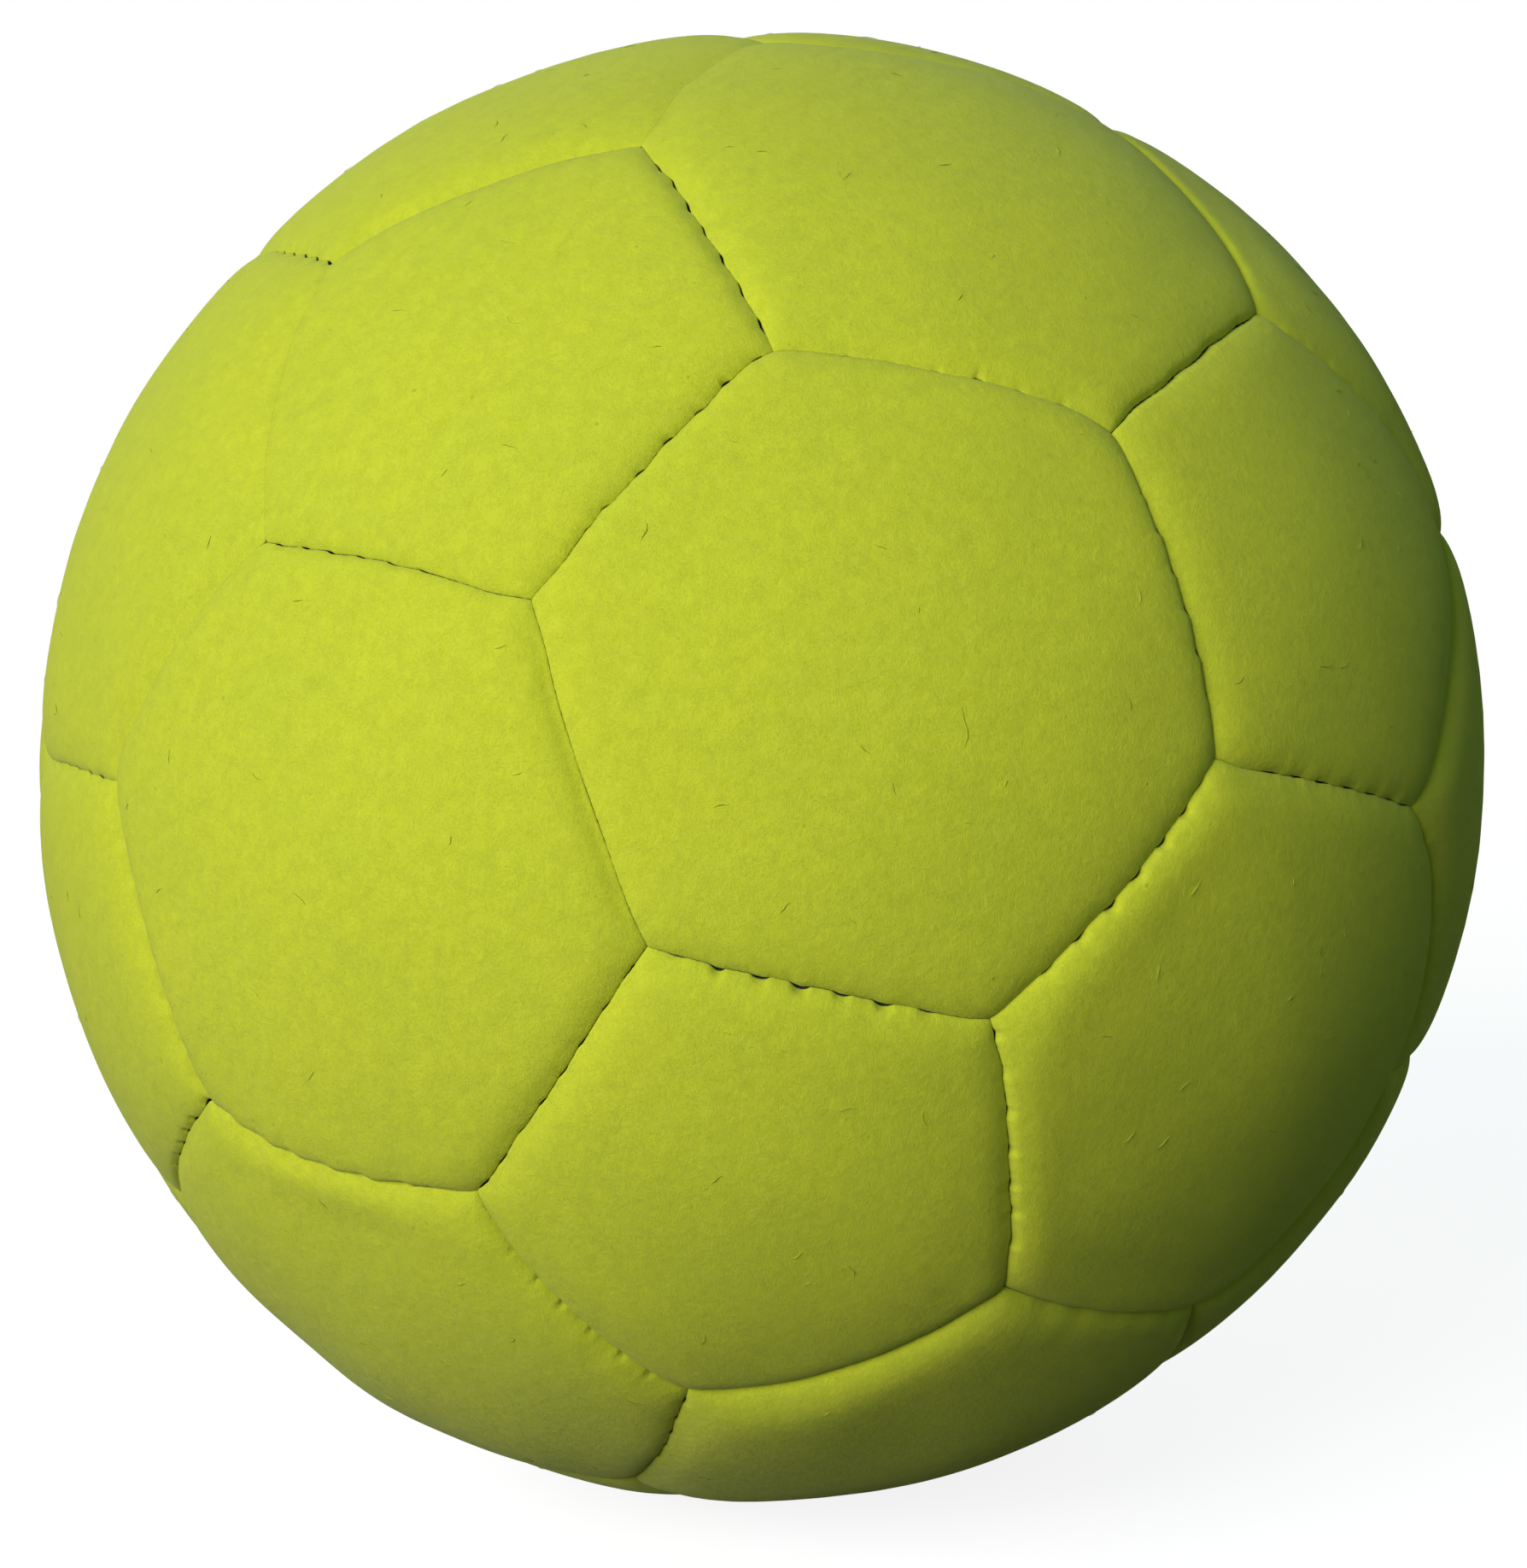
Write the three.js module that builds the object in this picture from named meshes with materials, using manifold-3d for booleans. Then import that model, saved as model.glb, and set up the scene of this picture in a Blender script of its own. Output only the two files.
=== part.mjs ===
// A hand-stitched indoor football with a felt cover: twenty hexagons and twelve pentagons of felt
// laminate, sewn edge to edge round a rubber bladder with a needle valve.
// Millimetres, +Z up, the origin at the centre of the ball and the valve facing +Y.

import {
  BufferGeometry, CylinderGeometry, Float32BufferAttribute, Group, LatheGeometry, Matrix4, Mesh,
  MeshStandardMaterial, Quaternion, SphereGeometry, Vector2, Vector3,
} from 'three';
import { mergeVertices } from 'three/addons/utils/BufferGeometryUtils.js';
import Module from 'manifold-3d';

// Driving dimensions of the cover.
const ballDiameter = 219.6; // across the crowns of the panels, 69 cm round
const seamTurn = 69; // degrees about the valve axis, from +Z toward +X, to a pentagon beside it
const laminateThickness = 4.2; // felt with its bonded cloth backing
const seamDrop = 3; // from the crown of the panels down to the lips of a seam
const shoulderWidth = 13; // over which the felt rolls down to a seam
const seamGap = 0.36; // between the two lips of a seam
const turnInLength = 4.3; // of the folded-in edge, below the backing
const crownRing = 0.5; // of the way from the crown's edge to the middle of a panel
const shoulderSteps = 3;
const stepsPerSide = 3; // along each seam

// Driving dimensions of the sewing thread.
const threadDiameter = 1;
const threadSides = 5;

// Driving dimensions of the bladder and its valve.
const bladderWall = 1.1;
const bladderRounds = 20;
const bladderRings = 12;
const valveFaceDiameter = 11;
const valveRecess = 0.8; // of the valve's face below the felt round it
const valveFlangeDiameter = 30;
const valveFlangeThickness = 1.4; // at its rim
const stemDiameter = 9.6;
const stemLength = 17; // inside the bladder
const plugDiameter = 5.4;
const plugRecess = 0.4; // of the plug below the valve's face
const needleHoleDiameter = 1.8;
const needleHoleDepth = 3.5;
const patchDiameter = 38;
const patchThickness = 1.2;
const valveRounds = 20;

const seatClearance = 0.3; // between pieces that touch on the real ball

// Radii that follow from the driving dimensions.
const crownRadius = ballDiameter / 2;
const undersideRadius = crownRadius - laminateThickness;
const turnInRadius = undersideRadius - turnInLength;
const lipRadius = crownRadius - seamDrop;
const channelDepth = (threadDiameter / 2 + seatClearance) * Math.SQRT2;
const threadLineRadius = lipRadius - channelDepth;

const valveAxis = new Vector3(0, 1, 0);
const radians = Math.PI / 180;

const wasm = await Module();
wasm.setup();

const ball = new Group();

function material(color, roughness) {
  return new MeshStandardMaterial({ color, roughness, metalness: 0 });
}

function addPiece(name, geometry, finish) {
  const piece = new Mesh(geometry, finish());
  piece.name = name;
  ball.add(piece);
  return piece;
}

const felt = () => material('#c9d83a', 0.95);
const thread = () => material('#b4bd3c', 0.8);
const bladderRubber = () => material('#2a2a2c', 0.6);
const valveRubber = () => material('#1d1d1f', 0.5);
const plugRubber = () => material('#3a3a3d', 0.55);
const patchCloth = () => material('#d8d4c6', 0.9);

function twoDigits(number) {
  return String(number).padStart(2, '0');
}

// Cuts and joins of closed geometries.

function toSolid(geometry) {
  const bare = geometry.clone();
  bare.deleteAttribute('normal');
  bare.deleteAttribute('uv');
  const merged = mergeVertices(bare, 1e-4);
  return new wasm.Manifold(new wasm.Mesh({
    numProp: 3,
    vertProperties: new Float32Array(merged.attributes.position.array),
    triVerts: new Uint32Array(merged.index.array),
  }));
}

function toGeometry(solid) {
  const mesh = solid.getMesh();
  const geometry = new BufferGeometry();
  geometry.setAttribute('position', new Float32BufferAttribute(mesh.vertProperties, 3));
  geometry.setIndex(Array.from(mesh.triVerts));
  geometry.computeVertexNormals();
  return geometry;
}

function cut(geometry, ...cutters) {
  return toGeometry(cutters.reduce((rest, cutter) => rest.subtract(toSolid(cutter)), toSolid(geometry)));
}

function join(geometries) {
  return toGeometry(geometries.map(toSolid).reduce((whole, next) => whole.add(next)));
}

// The seam pattern: a pentagon is centred on each of the twelve corners of an icosahedron, and a
// hexagon on each of its twenty faces. One face is turned to the valve axis.

function icosahedronCorners() {
  const golden = (1 + Math.sqrt(5)) / 2;
  const corners = [];
  for (const near of [-1, 1]) {
    for (const far of [-golden, golden]) {
      corners.push(new Vector3(0, near, far), new Vector3(near, far, 0), new Vector3(far, 0, near));
    }
  }
  return corners;
}

function pentagonDirections() {
  const corners = icosahedronCorners();
  const faceMiddle = new Vector3(1, 1, 1).normalize();
  const nearest = corners.find((corner) => corner.dot(faceMiddle) > 1);
  const across = new Vector3().crossVectors(faceMiddle, nearest).normalize();
  const upright = new Vector3().crossVectors(across, faceMiddle);
  const toFrame = new Matrix4().makeBasis(across, faceMiddle, upright).invert();
  const turn = new Quaternion().setFromAxisAngle(valveAxis, seamTurn * radians);
  return corners.map((corner) => corner.applyMatrix4(toFrame).applyQuaternion(turn).normalize());
}

const pentagons = pentagonDirections();
const neighbourAngle = Math.min(...pentagons.slice(1).map((other) => other.angleTo(pentagons[0])));

// Pentagons a and b are neighbours if a seam between two hexagons joins them.
function areNeighbours(a, b) {
  return a !== b && pentagons[a].angleTo(pentagons[b]) < neighbourAngle * 1.1;
}

function neighboursOf(a) {
  return pentagons.map((_, b) => b).filter((b) => areNeighbours(a, b));
}

function hexagonTriples() {
  const triples = [];
  for (let a = 0; a < pentagons.length; a += 1) {
    for (const b of neighboursOf(a).filter((other) => other > a)) {
      for (const c of neighboursOf(b).filter((other) => other > b && areNeighbours(a, other))) {
        triples.push([a, b, c]);
      }
    }
  }
  return triples;
}

// Where three seams meet, a third of the way from pentagon a to its neighbour b.
function seamCorner(a, b) {
  return pentagons[a].clone().multiplyScalar(2).add(pentagons[b]).normalize();
}

// Points along a seam, spaced evenly on its chord, with the first corner and without the last.
function seamPoints(from, to, steps) {
  return Array.from({ length: steps }, (_, step) => from.clone().lerp(to, step / steps).normalize());
}

// A panel's own frame has +Z through its middle. Seams are straight lines on the plane z = 1 there, so
// a ring at a given inset from the seams is a regular polygon on that plane, pushed out to its radius.
// firstCorner is the turn of the polygon's first corner from +X, and cornerAngle is how far the
// corners lie from the middle, seen from the centre of the ball.

function panelKind(sides, firstCorner, cornerAngle) {
  const narrowing = Math.cos(Math.PI / sides);
  const seamAngle = Math.atan(Math.tan(cornerAngle) * narrowing);
  const ring = (perSide, inset, radius) => {
    const reach = Math.tan(seamAngle - inset / crownRadius) / narrowing;
    const corner = (number) => {
      const angle = firstCorner + (number * 2 * Math.PI) / sides;
      return new Vector3(reach * Math.cos(angle), reach * Math.sin(angle), 1);
    };
    const points = [];
    for (let side = 0; side < sides; side += 1) {
      for (let step = 0; step < perSide; step += 1) {
        const point = corner(side).lerp(corner(side + 1), step / perSide);
        points.push(point.setLength(radius));
      }
    }
    return points;
  };
  return { ring, halfWidth: seamAngle * crownRadius };
}

// The felt's roll from crown to seam is a quarter of an ellipse.
function shoulderRings(kind) {
  const rings = [];
  for (let step = shoulderSteps; step >= 0; step -= 1) {
    const angle = ((Math.PI / 2) * step) / shoulderSteps;
    const inset = seamGap / 2 + (shoulderWidth - seamGap / 2) * (1 - Math.cos(angle));
    rings.push(kind.ring(stepsPerSide, inset, lipRadius + seamDrop * Math.sin(angle)));
  }
  return rings;
}

// From the lips down: the channel that the thread lies in, the turned-in edge, and up its inner side.
function turnInRings(kind) {
  return [
    kind.ring(stepsPerSide, channelDepth, threadLineRadius),
    kind.ring(stepsPerSide, seamGap / 2, threadLineRadius - channelDepth),
    kind.ring(stepsPerSide, seamGap / 2, turnInRadius),
    kind.ring(stepsPerSide, laminateThickness, turnInRadius),
    kind.ring(1, laminateThickness, undersideRadius),
  ];
}

function panelGeometry(kind) {
  const middleInset = kind.halfWidth - (kind.halfWidth - shoulderWidth) * crownRing;
  const rings = [
    kind.ring(1, middleInset, crownRadius),
    ...shoulderRings(kind),
    ...turnInRings(kind),
  ];
  return closedLoft(rings, new Vector3(0, 0, crownRadius), new Vector3(0, 0, undersideRadius));
}

// A closed skin over a stack of rings, with a fan of triangles at either end. Each ring has as many
// points as its neighbours, or a whole number of times as many.
function closedLoft(rings, first, last) {
  const points = [first, ...rings.flat(), last];
  const starts = rings.map((_, number) => 1 + rings.slice(0, number).flat().length);
  const faces = [];
  fan(faces, 0, starts[0], rings[0].length, false);
  for (let number = 1; number < rings.length; number += 1) {
    band(faces, starts[number - 1], rings[number - 1].length, starts[number], rings[number].length);
  }
  fan(faces, points.length - 1, starts.at(-1), rings.at(-1).length, true);
  return fromFaces(points, faces);
}

function fan(faces, tip, start, count, flipped) {
  for (let number = 0; number < count; number += 1) {
    const here = start + number;
    const next = start + ((number + 1) % count);
    faces.push(...(flipped ? [tip, next, here] : [tip, here, next]));
  }
}

function band(faces, upperStart, upperCount, lowerStart, lowerCount) {
  const count = Math.max(upperCount, lowerCount);
  const upper = (number) => upperStart + (Math.round((number * upperCount) / count) % upperCount);
  const lower = (number) => lowerStart + (Math.round((number * lowerCount) / count) % lowerCount);
  for (let number = 0; number < count; number += 1) {
    if (lower(number) !== lower(number + 1)) {
      faces.push(upper(number), lower(number), lower(number + 1));
    }
    if (upper(number) !== upper(number + 1)) {
      faces.push(upper(number), lower(number + 1), upper(number + 1));
    }
  }
}

function fromFaces(points, faces) {
  const geometry = new BufferGeometry();
  geometry.setAttribute('position', new Float32BufferAttribute(points.flatMap((p) => p.toArray()), 3));
  geometry.setIndex(faces);
  geometry.computeVertexNormals();
  return geometry;
}

// Stands a panel on its place, its own +X turned toward a direction on the ball.
function placePanel(panel, middle, toward) {
  const side = new Vector3().crossVectors(middle, toward).normalize();
  const along = new Vector3().crossVectors(side, middle);
  panel.quaternion.setFromRotationMatrix(new Matrix4().makeBasis(along, side, middle));
}

function addPentagons() {
  const corner = seamCorner(0, neighboursOf(0)[0]);
  const geometry = panelGeometry(panelKind(5, 0, corner.angleTo(pentagons[0])));
  pentagons.forEach((middle, a) => {
    const panel = addPiece(`pentagon_panel_${twoDigits(a + 1)}`, geometry, felt);
    placePanel(panel, middle, pentagons[neighboursOf(a)[0]]);
  });
}

function addHexagons() {
  const triples = hexagonTriples();
  const middleOf = (triple) => triple
    .reduce((sum, a) => sum.add(pentagons[a]), new Vector3())
    .normalize();
  const corner = seamCorner(triples[0][0], triples[0][1]);
  const geometry = panelGeometry(panelKind(6, Math.PI / 6, corner.angleTo(middleOf(triples[0]))));
  const pierced = cut(geometry, valveHole(), patchSeat());
  triples.forEach((triple, number) => {
    const middle = middleOf(triple);
    const holdsValve = middle.dot(valveAxis) > 0.999;
    const name = holdsValve ? 'hexagon_panel_valve' : `hexagon_panel_${twoDigits(number + 1)}`;
    const panel = addPiece(name, holdsValve ? pierced : geometry, felt);
    placePanel(panel, middle, pentagons[triple[0]]);
  });
}

// The hole that the valve's face shows through, in the panel's own frame.
function valveHole() {
  const radius = valveFaceDiameter / 2 + seatClearance;
  const hole = new CylinderGeometry(radius, radius, 4 * laminateThickness, valveRounds);
  hole.rotateX(Math.PI / 2);
  hole.translate(0, 0, crownRadius - laminateThickness / 2);
  return hole;
}

// The backing is pared flat on its inner side, where the valve's patch is glued on.
function patchSeat() {
  const radius = patchDiameter / 2 + seatClearance;
  const seat = new CylinderGeometry(radius, radius, 4 * laminateThickness, valveRounds);
  seat.rotateX(Math.PI / 2);
  seat.translate(0, 0, undersideRadius - 2 * laminateThickness);
  return seat;
}

// A thread runs round one pentagon and on down some of the seams between hexagons. Its path is a
// list of stations on the thread line, each with the sideways direction of its section.

const pentagonNarrowing = Math.cos(Math.PI / 5);

function station(point, sideways, widening = 1) {
  return { point, sideways: sideways.clone().normalize().multiplyScalar(widening) };
}

function sectionAt({ point, sideways }) {
  const centre = point.clone().multiplyScalar(threadLineRadius);
  return Array.from({ length: threadSides }, (_, number) => {
    const angle = (number * 2 * Math.PI) / threadSides;
    return centre.clone()
      .addScaledVector(point, (threadDiameter / 2) * Math.cos(angle))
      .addScaledVector(sideways, (threadDiameter / 2) * Math.sin(angle));
  });
}

// The corners of pentagon a, in order round it.
function cornersAround(a) {
  const corners = neighboursOf(a).map((b) => seamCorner(a, b));
  const across = new Vector3().crossVectors(pentagons[a], corners[0]);
  const toward = new Vector3().crossVectors(across, pentagons[a]);
  const turnOf = (corner) => Math.atan2(corner.dot(across), corner.dot(toward));
  return corners.sort((one, other) => turnOf(one) - turnOf(other));
}

// The section widens at a corner, where it lies on the mitre between two seams.
function cornerStation(corner, a) {
  const across = new Vector3().crossVectors(corner, pentagons[a]);
  return station(corner, across.cross(corner).negate(), 1 / pentagonNarrowing);
}

function ringThread(a) {
  const corners = cornersAround(a);
  const stations = corners.flatMap((corner, number) => {
    const next = corners[(number + 1) % corners.length];
    const acrossSeam = new Vector3().crossVectors(next, corner);
    const between = seamPoints(corner, next, stepsPerSide).slice(1);
    return [cornerStation(corner, a), ...between.map((point) => station(point, acrossSeam))];
  });
  const sections = stations.map(sectionAt);
  const faces = [];
  sections.forEach((_, number) => {
    const next = (number + 1) % sections.length;
    band(faces, next * threadSides, threadSides, number * threadSides, threadSides);
  });
  return fromFaces(sections.flat(), faces);
}

// From the corner of pentagon a to just short of the thread round pentagon b.
function spokeThread(a, b) {
  const from = seamCorner(a, b);
  const to = seamCorner(b, a);
  const acrossSeam = new Vector3().crossVectors(from, to);
  const short = threadDiameter / 2 / pentagonNarrowing + seatClearance;
  const end = to.clone().lerp(from, short / (threadLineRadius * to.distanceTo(from))).normalize();
  const points = [...seamPoints(from, to, stepsPerSide), end];
  const sections = points.map((point) => sectionAt(station(point, acrossSeam)));
  const middles = [from, end].map((point) => point.clone().multiplyScalar(threadLineRadius));
  return closedLoft(sections, middles[0], middles[1]);
}

// Shares the thirty seams between hexagons out among the twelve threads, two or three to each.
function spokesOf(a) {
  const half = pentagons.length / 2;
  return neighboursOf(a).filter((b) => {
    const ahead = (b - a + pentagons.length) % pentagons.length;
    return ahead < half || (ahead === half && a > b);
  });
}

function addThreads() {
  pentagons.forEach((_, a) => {
    const runs = spokesOf(a).map((b) => spokeThread(a, b));
    addPiece(`seam_thread_${twoDigits(a + 1)}`, join([ringThread(a), ...runs]), thread);
  });
}

// The bladder fills the room inside the turned-in edges, whose chords sag between the stations.

const seamHalfAngle = seamCorner(0, neighboursOf(0)[0]).angleTo(seamCorner(neighboursOf(0)[0], 0)) / 2;
const stepHalfAngle = Math.atan(Math.tan(seamHalfAngle) / stepsPerSide);
const bladderRadius = turnInRadius * Math.cos(stepHalfAngle) - seatClearance;

function bladderShell(radius) {
  return new SphereGeometry(radius, bladderRounds, bladderRings);
}

// The stem of the valve passes through a hole at the bladder's pole.
function stemHole() {
  const radius = stemDiameter / 2 + seatClearance;
  const hole = new CylinderGeometry(radius, radius, 2 * stemLength, valveRounds);
  hole.translate(0, bladderRadius, 0);
  return hole;
}

function addBladder() {
  const hollow = bladderShell(bladderRadius - bladderWall);
  addPiece('bladder', cut(bladderShell(bladderRadius), hollow, stemHole()), bladderRubber);
}

// Heights along the valve axis, from the centre of the ball.
const valveFaceHeight = crownRadius - valveRecess;
const patchTop = undersideRadius - seatClearance;
const flangeTop = patchTop - patchThickness - seatClearance;
const stemEnd = bladderRadius - stemLength;
const boreRadius = plugDiameter / 2 + seatClearance;

function lathe(outline) {
  return new LatheGeometry(outline.map(([across, height]) => new Vector2(across, height)), valveRounds);
}

// How high the bladder's facets reach at a distance from the valve axis. The flange lies on them.
function bladderHeight(across) {
  const ringAngle = Math.PI / bladderRings;
  const near = Math.floor(Math.asin(across / bladderRadius) / ringAngle) * ringAngle;
  const far = near + ringAngle;
  const share = (across / bladderRadius - Math.sin(near)) / (Math.sin(far) - Math.sin(near));
  return bladderRadius * (Math.cos(near) + share * (Math.cos(far) - Math.cos(near)));
}

function addValve() {
  const face = valveFaceDiameter / 2;
  const flange = valveFlangeDiameter / 2;
  const stem = stemDiameter / 2;
  const seat = (across) => bladderHeight(across) + seatClearance;
  const outline = [
    [boreRadius, stemEnd],
    [stem, stemEnd],
    [stem, seat(stem)],
    [flange, seat(flange)],
    [flange, seat(flange) + valveFlangeThickness],
    [face, flangeTop],
    [face, valveFaceHeight],
    [boreRadius, valveFaceHeight],
  ];
  addPiece('valve_body', lathe([...outline, outline[0]]), valveRubber);
}

function addPlug() {
  const top = valveFaceHeight - plugRecess;
  const hole = needleHoleDiameter / 2;
  addPiece('valve_plug', lathe([
    [0, stemEnd],
    [plugDiameter / 2, stemEnd],
    [plugDiameter / 2, top],
    [hole, top],
    [hole, top - needleHoleDepth],
    [0, top - needleHoleDepth - hole],
  ]), plugRubber);
}

// A ring of cloth glued under the panel, where the valve comes through it.
function addPatch() {
  const inner = valveFaceDiameter / 2 + seatClearance;
  const outer = patchDiameter / 2;
  const outline = [
    [inner, patchTop - patchThickness],
    [outer, patchTop - patchThickness],
    [outer, patchTop],
    [inner, patchTop],
  ];
  addPiece('valve_patch', lathe([...outline, outline[0]]), patchCloth);
}

addHexagons();
addPentagons();
addThreads();
addBladder();
addValve();
addPlug();
addPatch();

export default ball;
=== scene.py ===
import math

import bmesh
import bpy
import numpy as np
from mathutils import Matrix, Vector


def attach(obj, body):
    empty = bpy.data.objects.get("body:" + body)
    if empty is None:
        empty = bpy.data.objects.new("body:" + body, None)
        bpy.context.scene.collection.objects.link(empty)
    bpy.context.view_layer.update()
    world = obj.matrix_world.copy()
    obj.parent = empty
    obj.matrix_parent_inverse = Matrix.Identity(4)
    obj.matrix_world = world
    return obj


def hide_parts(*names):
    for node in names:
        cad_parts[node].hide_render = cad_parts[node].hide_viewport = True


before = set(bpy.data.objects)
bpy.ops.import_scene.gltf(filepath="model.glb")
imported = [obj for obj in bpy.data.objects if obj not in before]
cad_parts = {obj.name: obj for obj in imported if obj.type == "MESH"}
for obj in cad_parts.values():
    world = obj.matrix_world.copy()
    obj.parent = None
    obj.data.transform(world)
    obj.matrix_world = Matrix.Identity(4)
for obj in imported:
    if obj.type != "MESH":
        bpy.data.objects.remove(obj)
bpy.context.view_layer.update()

# Lengths are in millimetres up to the point where a mesh is made.
MM = 0.001

# The ball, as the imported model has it.
CROWN = 109.8            # radius across the crowns of the panels
UNDERSIDE = 105.6        # inner side of the laminate
TURN_IN = 101.3          # innermost edge of the folded-in felt
THREAD_LINE = 105.67     # radius of the channel that holds the thread
CHANNEL = 1.1            # half width of that channel
CHANNEL_TOP, CHANNEL_FLOOR = 106.4, 104.5
TURN_IN_DEPTH = 4.2      # thickness of the folded-in edge, across the seam
TURN_IN_GAP = 0.16       # from the middle of the seam to the folded-in felt
SEAM_TURN = 69           # degrees about the valve axis
BLADDER = 100.76
BLADDER_WALL = 1.1
BLADDER_HOLE = 5.1
STITCH = 5.5             # pitch of the sewing

VALVE_AXIS = np.array([0.0, 1.0, 0.0])
VALVE_FACE = 109.0
VALVE_HOLE = 5.8
PATCH = 19.0             # radius of the patch
PATCH_THICKNESS = 1.2
PATCH_SEAT = 19.3        # radius of the flat that it is glued to

CAMERA_AZIMUTH = math.radians(30.72)
CAMERA_ELEVATION = math.radians(7.57)
CAMERA_DISTANCE = 492.3
CAMERA_LENS = 73.24
CAMERA_SHIFT = (0.00227, -0.0111)

BACK = np.array([
    math.sin(CAMERA_AZIMUTH) * math.cos(CAMERA_ELEVATION),
    -math.cos(CAMERA_AZIMUTH) * math.cos(CAMERA_ELEVATION),
    math.sin(CAMERA_ELEVATION),
])
RIGHT = np.array([math.cos(CAMERA_AZIMUTH), math.sin(CAMERA_AZIMUTH), 0.0])
UP = np.cross(BACK, RIGHT)


def unit(vectors):
    vectors = np.asarray(vectors, float)
    return vectors / np.linalg.norm(vectors, axis=-1, keepdims=True)


def smooth(low, high, value):
    share = np.clip((value - low) / (high - low), 0, 1)
    return share * share * (3 - 2 * share)


def fading(distance, reach):
    return np.exp(-distance / reach)


def bell(distance, reach):
    return np.exp(-(distance / reach) ** 2)


# ---- the seam pattern: a pentagon on each corner of an icosahedron, a hexagon on each face ----

def pentagon_middles():
    golden = (1 + math.sqrt(5)) / 2
    corners = []
    for near in (-1, 1):
        for far in (-golden, golden):
            corners += [(0, near, far), (near, far, 0), (far, 0, near)]
    corners = np.array(corners, float)
    face = unit([1, 1, 1])
    nearest = next(corner for corner in corners if corner @ face > 1)
    across = unit(np.cross(face, nearest))
    to_frame = np.stack([across, face, np.cross(across, face)])
    turn = math.radians(SEAM_TURN)
    about_valve = np.array([
        [math.cos(turn), 0, math.sin(turn)],
        [0, 1, 0],
        [-math.sin(turn), 0, math.cos(turn)],
    ])
    return unit(corners @ to_frame.T @ about_valve.T)


PENTAGONS = pentagon_middles()
NEIGHBOURS = [
    [b for b in range(12) if b != a and PENTAGONS[a] @ PENTAGONS[b] > 0.3]
    for a in range(12)
]
HEXAGONS = [
    (a, b, c)
    for a in range(12)
    for b in NEIGHBOURS[a] if b > a
    for c in NEIGHBOURS[b] if c > b and c in NEIGHBOURS[a]
]


def corner_point(corner):
    a, b = corner
    return unit(2 * PENTAGONS[a] + PENTAGONS[b])


def in_order(middle, corners):
    """The corners counterclockwise round the middle, seen from outside."""
    east = unit(np.cross([0.3, 0.2, 1], middle))
    north = np.cross(middle, east)
    return sorted(corners, key=lambda c: math.atan2(corner_point(c) @ north, corner_point(c) @ east))


def sides_of(corners):
    return zip(corners, corners[1:] + corners[:1])


def arc(start, end, share):
    """Points on the great circle from start to end, at these shares of the way."""
    angle = math.acos(start @ end)
    share = share[:, None]
    return (np.sin((1 - share) * angle) * start + np.sin(share * angle) * end) / math.sin(angle)


# The corners in the front, by letter. Corner (a, b) lies on pentagon a, towards pentagon b.
CORNERS = dict(
    A=(2, 1), B=(2, 8), C=(8, 2), D=(8, 4), E=(1, 2), F=(1, 8), G=(1, 0), H=(8, 1), I=(8, 3), J=(2, 4),
    K=(2, 6), L=(2, 0), M=(0, 2), N=(4, 2), O=(0, 1), P=(8, 9), Q=(3, 8), R=(4, 8), S=(1, 3), T=(3, 1),
    U=(1, 7), V=(0, 6), W=(7, 1), X=(3, 7), Y=(6, 2), Z=(0, 7),
)

# Where the sewing has pulled them off the even pattern: right and up, seen from the front.
CORNER_PULL = dict(
    A=(-1.31, 0.05), B=(-0.14, -0.2), C=(0.82, -0.21), D=(0.54, -0.95), E=(-0.29, -1.11),
    F=(-0.09, -0.81), G=(0.77, -1.79), H=(0.25, -0.25), I=(0.14, -0.88), J=(1.77, 0.79),
    K=(-0.01, 0.22), L=(0.15, -1.17), M=(-0.5, -0.5), N=(-4, 1), O=(0.24, -1.75), P=(1.5, 1.4),
    Q=(-1.5, -1.5), R=(1.6, 0), S=(0.79, 0.14), T=(-0.9, -2.01), U=(-0.04, -0.86), V=(0, -2.5),
    W=(0.6, -0.4),
)
PULL_REACH = 16


def by_seam(table):
    """The table with the two letters of each seam changed for its two corners."""
    return {tuple(CORNERS[letter] for letter in seam): row for seam, row in table.items()}


PULLS = {CORNERS[letter]: pull for letter, pull in CORNER_PULL.items()}


def corner_pull(corner):
    """The pull as a vector along the surface."""
    right, up = PULLS.get(corner, (0, 0))
    point = corner_point(corner)
    flat = right * RIGHT + up * UP
    return flat - BACK * (flat @ point) / max(BACK @ point, 0.3)


def pulled(corners, points, moved):
    """Directions for moved, drawn on by the pull of the corners that lie near points."""
    for corner in corners:
        away = CROWN * np.linalg.norm(points - corner_point(corner), axis=1)
        moved = moved + corner_pull(corner) * bell(away, PULL_REACH)[:, None] / CROWN
    return unit(moved)


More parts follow.
